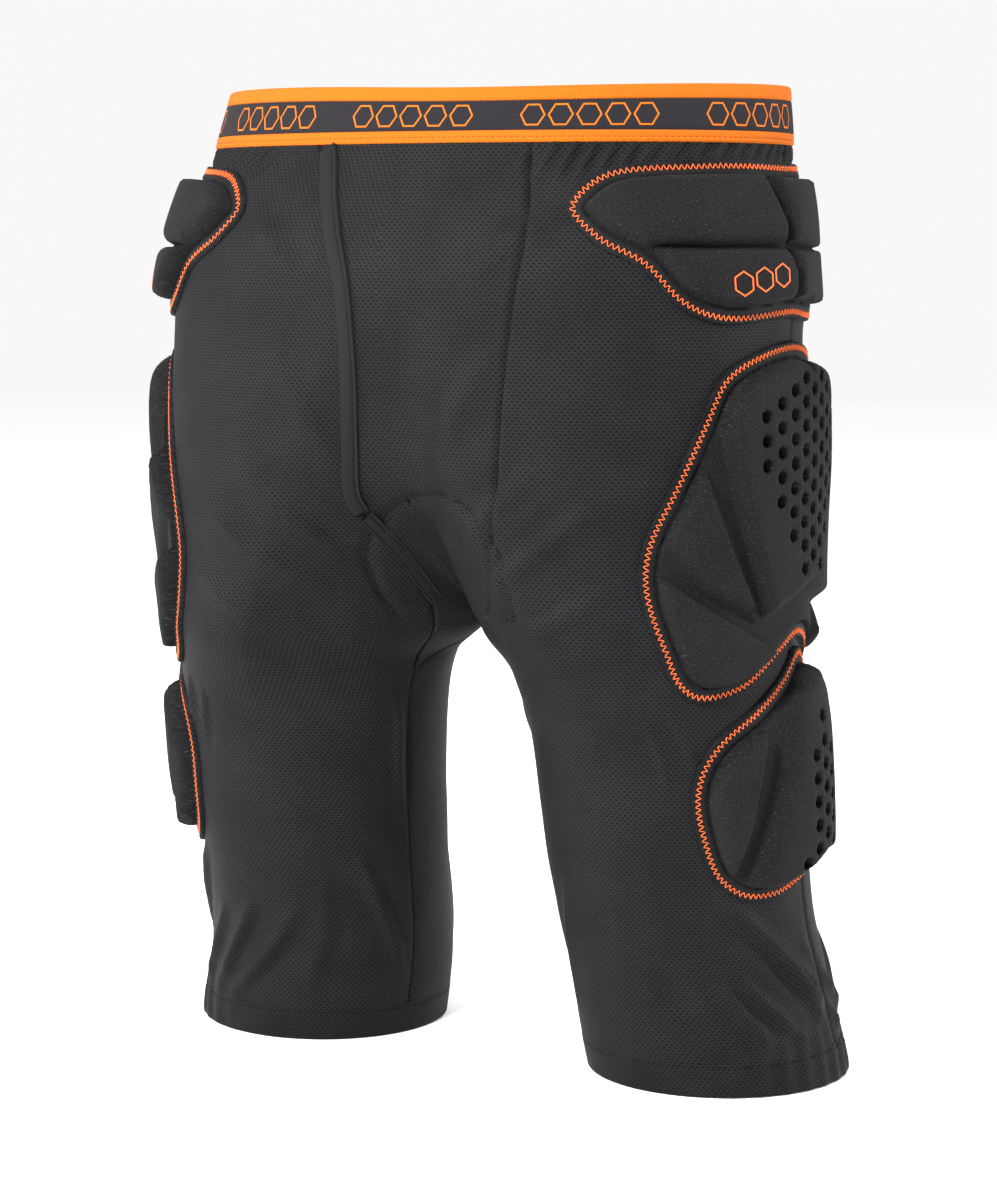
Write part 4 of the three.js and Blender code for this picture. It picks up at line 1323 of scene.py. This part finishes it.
def zigzag(kind, side, name, body, lay):
    """The zigzag thread round a pad, in whole waves."""
    outline = PAD_OUTLINES[kind]
    path = resample(inset(outline, ZIGZAG_INSET), 0.55)
    steps = np.linalg.norm(path - np.roll(path, -1, axis=0), axis=1)
    count = round(steps.sum() / ZIGZAG_PITCH)
    t = unit(np.roll(path, -3, axis=0) - np.roll(path, 3, axis=0))
    n = np.stack([-t[:, 1], t[:, 0]], -1)
    phase = np.arange(len(path)) / len(path) * count * 2 * np.pi
    swing = np.arcsin(np.sin(phase) * 0.97) / (np.pi / 2) * ZIGZAG_HALF
    line = path + n * swing[:, None]
    lift = base_height(line, outline) + THREAD * (0.8 + 0.5 * np.cos(phase) ** 2)
    points, normals = lay(line[:, 0], line[:, 1], lift)
    obj = closed_tube(f"{kind}_zigzag{name}", points, normals, THREAD, side)
    attach(obj, ORANGE_THREAD, body)


def hole_centres(kind):
    """Centres of the air holes: columns of them, every other one half a pitch up."""
    column_pitch = HOLE_PITCH * math.sqrt(3) / 2
    rows = {"thigh": (387.0, (9, 9, 7, 5, 3), -1), "lower": (139.0, (6, 5, 1), 1)}
    if kind not in rows:
        return np.zeros((0, 2))
    start, counts, way = rows[kind]
    out = []
    for k in range(1 - len(counts), len(counts)):
        first = start - HOLE_PITCH / 2 * abs(k)
        out += [(PAD_MIDDLE + k * column_pitch, first + way * HOLE_PITCH * i)
                for i in range(counts[abs(k)])]
    return np.array(out)


def hexagon(centre, radius, step=1.4):
    a = np.radians(90 + 60 * np.arange(6))
    corners = np.array(centre) + radius * np.stack([np.cos(a), np.sin(a)], -1)
    return resample(corners, step)


def thin_out(points, first):
    """Drops points close to an earlier one. Those before index first come from the ridges."""
    tree = KDTree(len(points))
    for i, (x, y) in enumerate(points):
        tree.insert((x, y, 0.0), i)
    tree.balance()
    dropped = set()
    for i, (x, y) in enumerate(points):
        if i not in dropped:
            found = tree.find_range((x, y, 0.0), 0.7 if i < first else 0.85)
            dropped.update(j for _, j, _ in found if j > i)
    return points[[i for i in range(len(points)) if i not in dropped]]


def pad_foam(kind, side, name, body, lay):
    """The foam cells of a pad as one cover, with its air holes cut through."""
    outline = PAD_OUTLINES[kind]
    rim = inset(outline, FLANGE)
    centres = hole_centres(kind)

    def clear(points):
        points = points[edge_distance(points, rim) > RIM_CLEAR]
        for c in centres:
            points = points[np.linalg.norm(points - c, axis=1) > HOLE_RADIUS + HOLE_CLEAR]
        return points

    holes = [hexagon(c, HOLE_RADIUS) for c in centres]
    lips = [hexagon(c, HOLE_RADIUS + LIP) for c in centres]
    grid, ridges = clear(lattice(rim, PAD_CELL)), clear(ridge_points(kind))
    if len(ridges):
        grid = thin_out(np.vstack([ridges, grid]), len(ridges))
    near = [inset(rim, x) for x in (0.25, 0.8)]
    verts, tris = triangulate([rim] + holes, np.vstack([grid] + near + lips))
    top = foam_height(kind, verts, outline)
    for c in centres:
        away = np.linalg.norm(verts - c, axis=1)
        top = np.where(away < HOLE_RADIUS + 0.1, top - LIP, top)
    bottom = np.minimum(np.full(len(verts), FOAM_BOTTOM), top - 0.2)
    obj = slab(f"{kind}_cover{name}", verts, tris, top, bottom, side, 50, lay)
    attach(obj, COVER, body)
    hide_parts(*[f"{kind}_pad_{node}{name}" for node in FOAM_NODES[kind]])


def hip_badge(side):
    """Three plain outlined hexagons on the hip pad's lower cell."""
    outline = PAD_OUTLINES["hip"]
    parts = []
    for centre in ((48.0, 427.5), (36.0, 429.5), (24.0, 431.5)):
        outer, middle, inner = (hexagon(centre, radius, 0.9) for radius in (6.0, 5.6, 5.2))
        parts.append(triangulate([outer, inner], middle))
    verts = np.vstack([v for v, _ in parts])
    starts = np.cumsum([0] + [len(v) for v, _ in parts[:-1]])
    tris = np.vstack([t + start for (_, t), start in zip(parts, starts)])
    height = foam_height("hip", verts, outline)
    obj = slab(f"hip_badge_{side}", verts, tris, height + 0.28, height - 0.25, side, 60)
    attach(obj, ORANGE_PRINT, "pelvis")


FOAM_NODES = {
    "hip": ("front_upper", "front_lower", "rear_upper", "rear_lower"),
    "thigh": ("vent_plate", "front_upper", "front_lower", "rear_upper", "rear_lower"),
    "lower": ("front", "vent_plate", "rear"),
    "tailbone": ("foam",),
}


def pad(kind, side, body, lay=on_body):
    name = f"_{side}" if side else ""
    for part in (pad_base, pad_foam, zigzag):
        part(kind, side, name, body, lay)


def pads():
    for kind in ("hip", "thigh", "lower"):
        for side in SIGN:
            pad(kind, side, "pelvis" if kind == "hip" else None)
    for side in SIGN:
        hip_badge(side)
    pad("tailbone", None, "pelvis", on_seat)


def crotch_pad():
    """Soft pad that follows the inside of the middle seam, quilted along its length."""
    heights = np.array([335.0, 305.0, 285.0, 268.0, 256.0])
    front, behind = (body_point(heights, angle)[:, 1:] for angle in middle_angles(heights))
    step, half, gap, edge, height = 3.0, 22.0, 2.0, 0.6, 5.4
    line = smooth_line(np.vstack([front, behind[::-1]]), step)
    ahead = unit(np.gradient(line, axis=0))
    inward = np.stack([-ahead[:, 1], ahead[:, 0]], -1)
    across = np.linspace(-1, 1, 25)
    run = np.linspace(0, 1, len(line))
    from_end = np.minimum(run, 1 - run) * len(line) * step
    rim = shoulder(np.minimum(half * (1 - np.abs(across))[None, :], from_end[:, None]), 6.0)
    quilt = 1 - 0.35 * np.exp(-((np.abs(across) - 0.42) / 0.08) ** 2)[None, :]
    rise = edge + height * rim * quilt
    layers = []
    for lift in (gap + rise, gap + 0 * rise):
        flat = line[:, None, :] + inward[:, None, :] * lift[..., None]
        x = np.broadcast_to(half * across, lift.shape)
        layers.append(np.concatenate([x[..., None], flat], -1).reshape(-1, 3))
    rows, columns = len(line), len(across)
    size = rows * columns
    index = np.arange(size).reshape(rows, columns)
    border = [*index[0], *index[1:, -1], *index[-1, -2::-1], *index[-2:0:-1, 0]]
    faces = grid_faces(rows, columns) + reverse(grid_faces(rows, columns, size))
    faces += [(a + size, b + size, b, a) for a, b in zip(border, border[1:] + border[:1])]
    uvs = np.stack([np.tile(half * across, rows), np.repeat(run * rows * step, columns)], -1)
    obj = make("crotch_pad_liner", np.vstack(layers), faces, np.vstack([uvs, uvs]), 60)
    attach(obj, LINER, "pelvis")
    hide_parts("crotch_pad")


# ---- camera, lights and stage (in metres)
CAMERA_AZIMUTH = math.radians(28)
CAMERA_ELEVATION = math.radians(7)
CAMERA_DISTANCE = 1.7
LENS = 91.0                     # mm, on a sensor 36 mm wide
TARGET_HEIGHT = 0.250
TARGET_LEFT = 0.008             # the target lies this far to the camera's left
FLOOR_HALF = 6.0
FLOOR_LEVEL = -0.0006
WORLD_STRENGTH = 0.94
# Name, place, height it aims at, diameter, power in watts.
LIGHTS = [("key", (0.0, -2.4, 1.7), 0.3, 0.6, 155),
          ("left", (-2.0, -1.3, 0.9), 0.3, 0.8, 56),
          ("right_rim", (2.0, 1.1, 0.8), 0.28, 0.6, 52),
          ("top", (0.2, 0.4, 2.4), 0.3, 1.0, 34)]


def put(name, data, place, towards):
    """An object at a place that looks along a direction."""
    obj = bpy.data.objects.new(name, data)
    obj.location = place
    obj.rotation_euler = towards.to_track_quat("-Z", "Y").to_euler()
    bpy.context.scene.collection.objects.link(obj)
    return obj


def camera():
    level = math.cos(CAMERA_ELEVATION)
    back = Vector((math.sin(CAMERA_AZIMUTH) * level, -math.cos(CAMERA_AZIMUTH) * level,
                   math.sin(CAMERA_ELEVATION)))
    right = Vector((math.cos(CAMERA_AZIMUTH), math.sin(CAMERA_AZIMUTH), 0))
    target = Vector((0, CENTRE_Y * MM, TARGET_HEIGHT)) - right * TARGET_LEFT
    data = bpy.data.cameras.new("camera")
    data.lens = LENS
    data.sensor_width = 36.0
    bpy.context.scene.camera = put("camera", data, target + back * CAMERA_DISTANCE, -back)


def stage():
    """A plain pale floor, a white world and four soft lights."""
    mesh = bpy.data.meshes.new("floor")
    corners = [(x * FLOOR_HALF, y * FLOOR_HALF, FLOOR_LEVEL)
               for x, y in ((-1, -1), (1, -1), (1, 1), (-1, 1))]
    mesh.from_pydata(corners, [], [(0, 1, 2, 3)])
    floor = bpy.data.objects.new("floor", mesh)
    bpy.context.scene.collection.objects.link(floor)
    n = Nodes("pale_floor")
    colour = n.mix(n.noise(3.0, 2.0), (0.95, 0.95, 0.95), (0.97, 0.97, 0.97))
    floor.data.materials.append(n.finish(colour, 0.9))
    world = bpy.data.worlds.new("studio")
    world.use_nodes = True
    background = world.node_tree.nodes["Background"]
    background.inputs[0].default_value = (1.0, 1.0, 1.0, 1.0)
    background.inputs[1].default_value = WORLD_STRENGTH
    bpy.context.scene.world = world
    bpy.context.scene.view_settings.view_transform = "Standard"
    for name, place, aim, size, power in LIGHTS:
        data = bpy.data.lights.new(name, "AREA")
        data.shape = "DISK"
        data.size = size
        data.energy = power
        put(name, data, place, Vector((0, 0, aim)) - Vector(place))


def main():
    camera()
    stage()
    waistband()
    for side in SIGN:
        hem(side)
    fabric()
    seam_threads()
    crotch_thread()
    fly()
    pads()
    crotch_pad()


main()
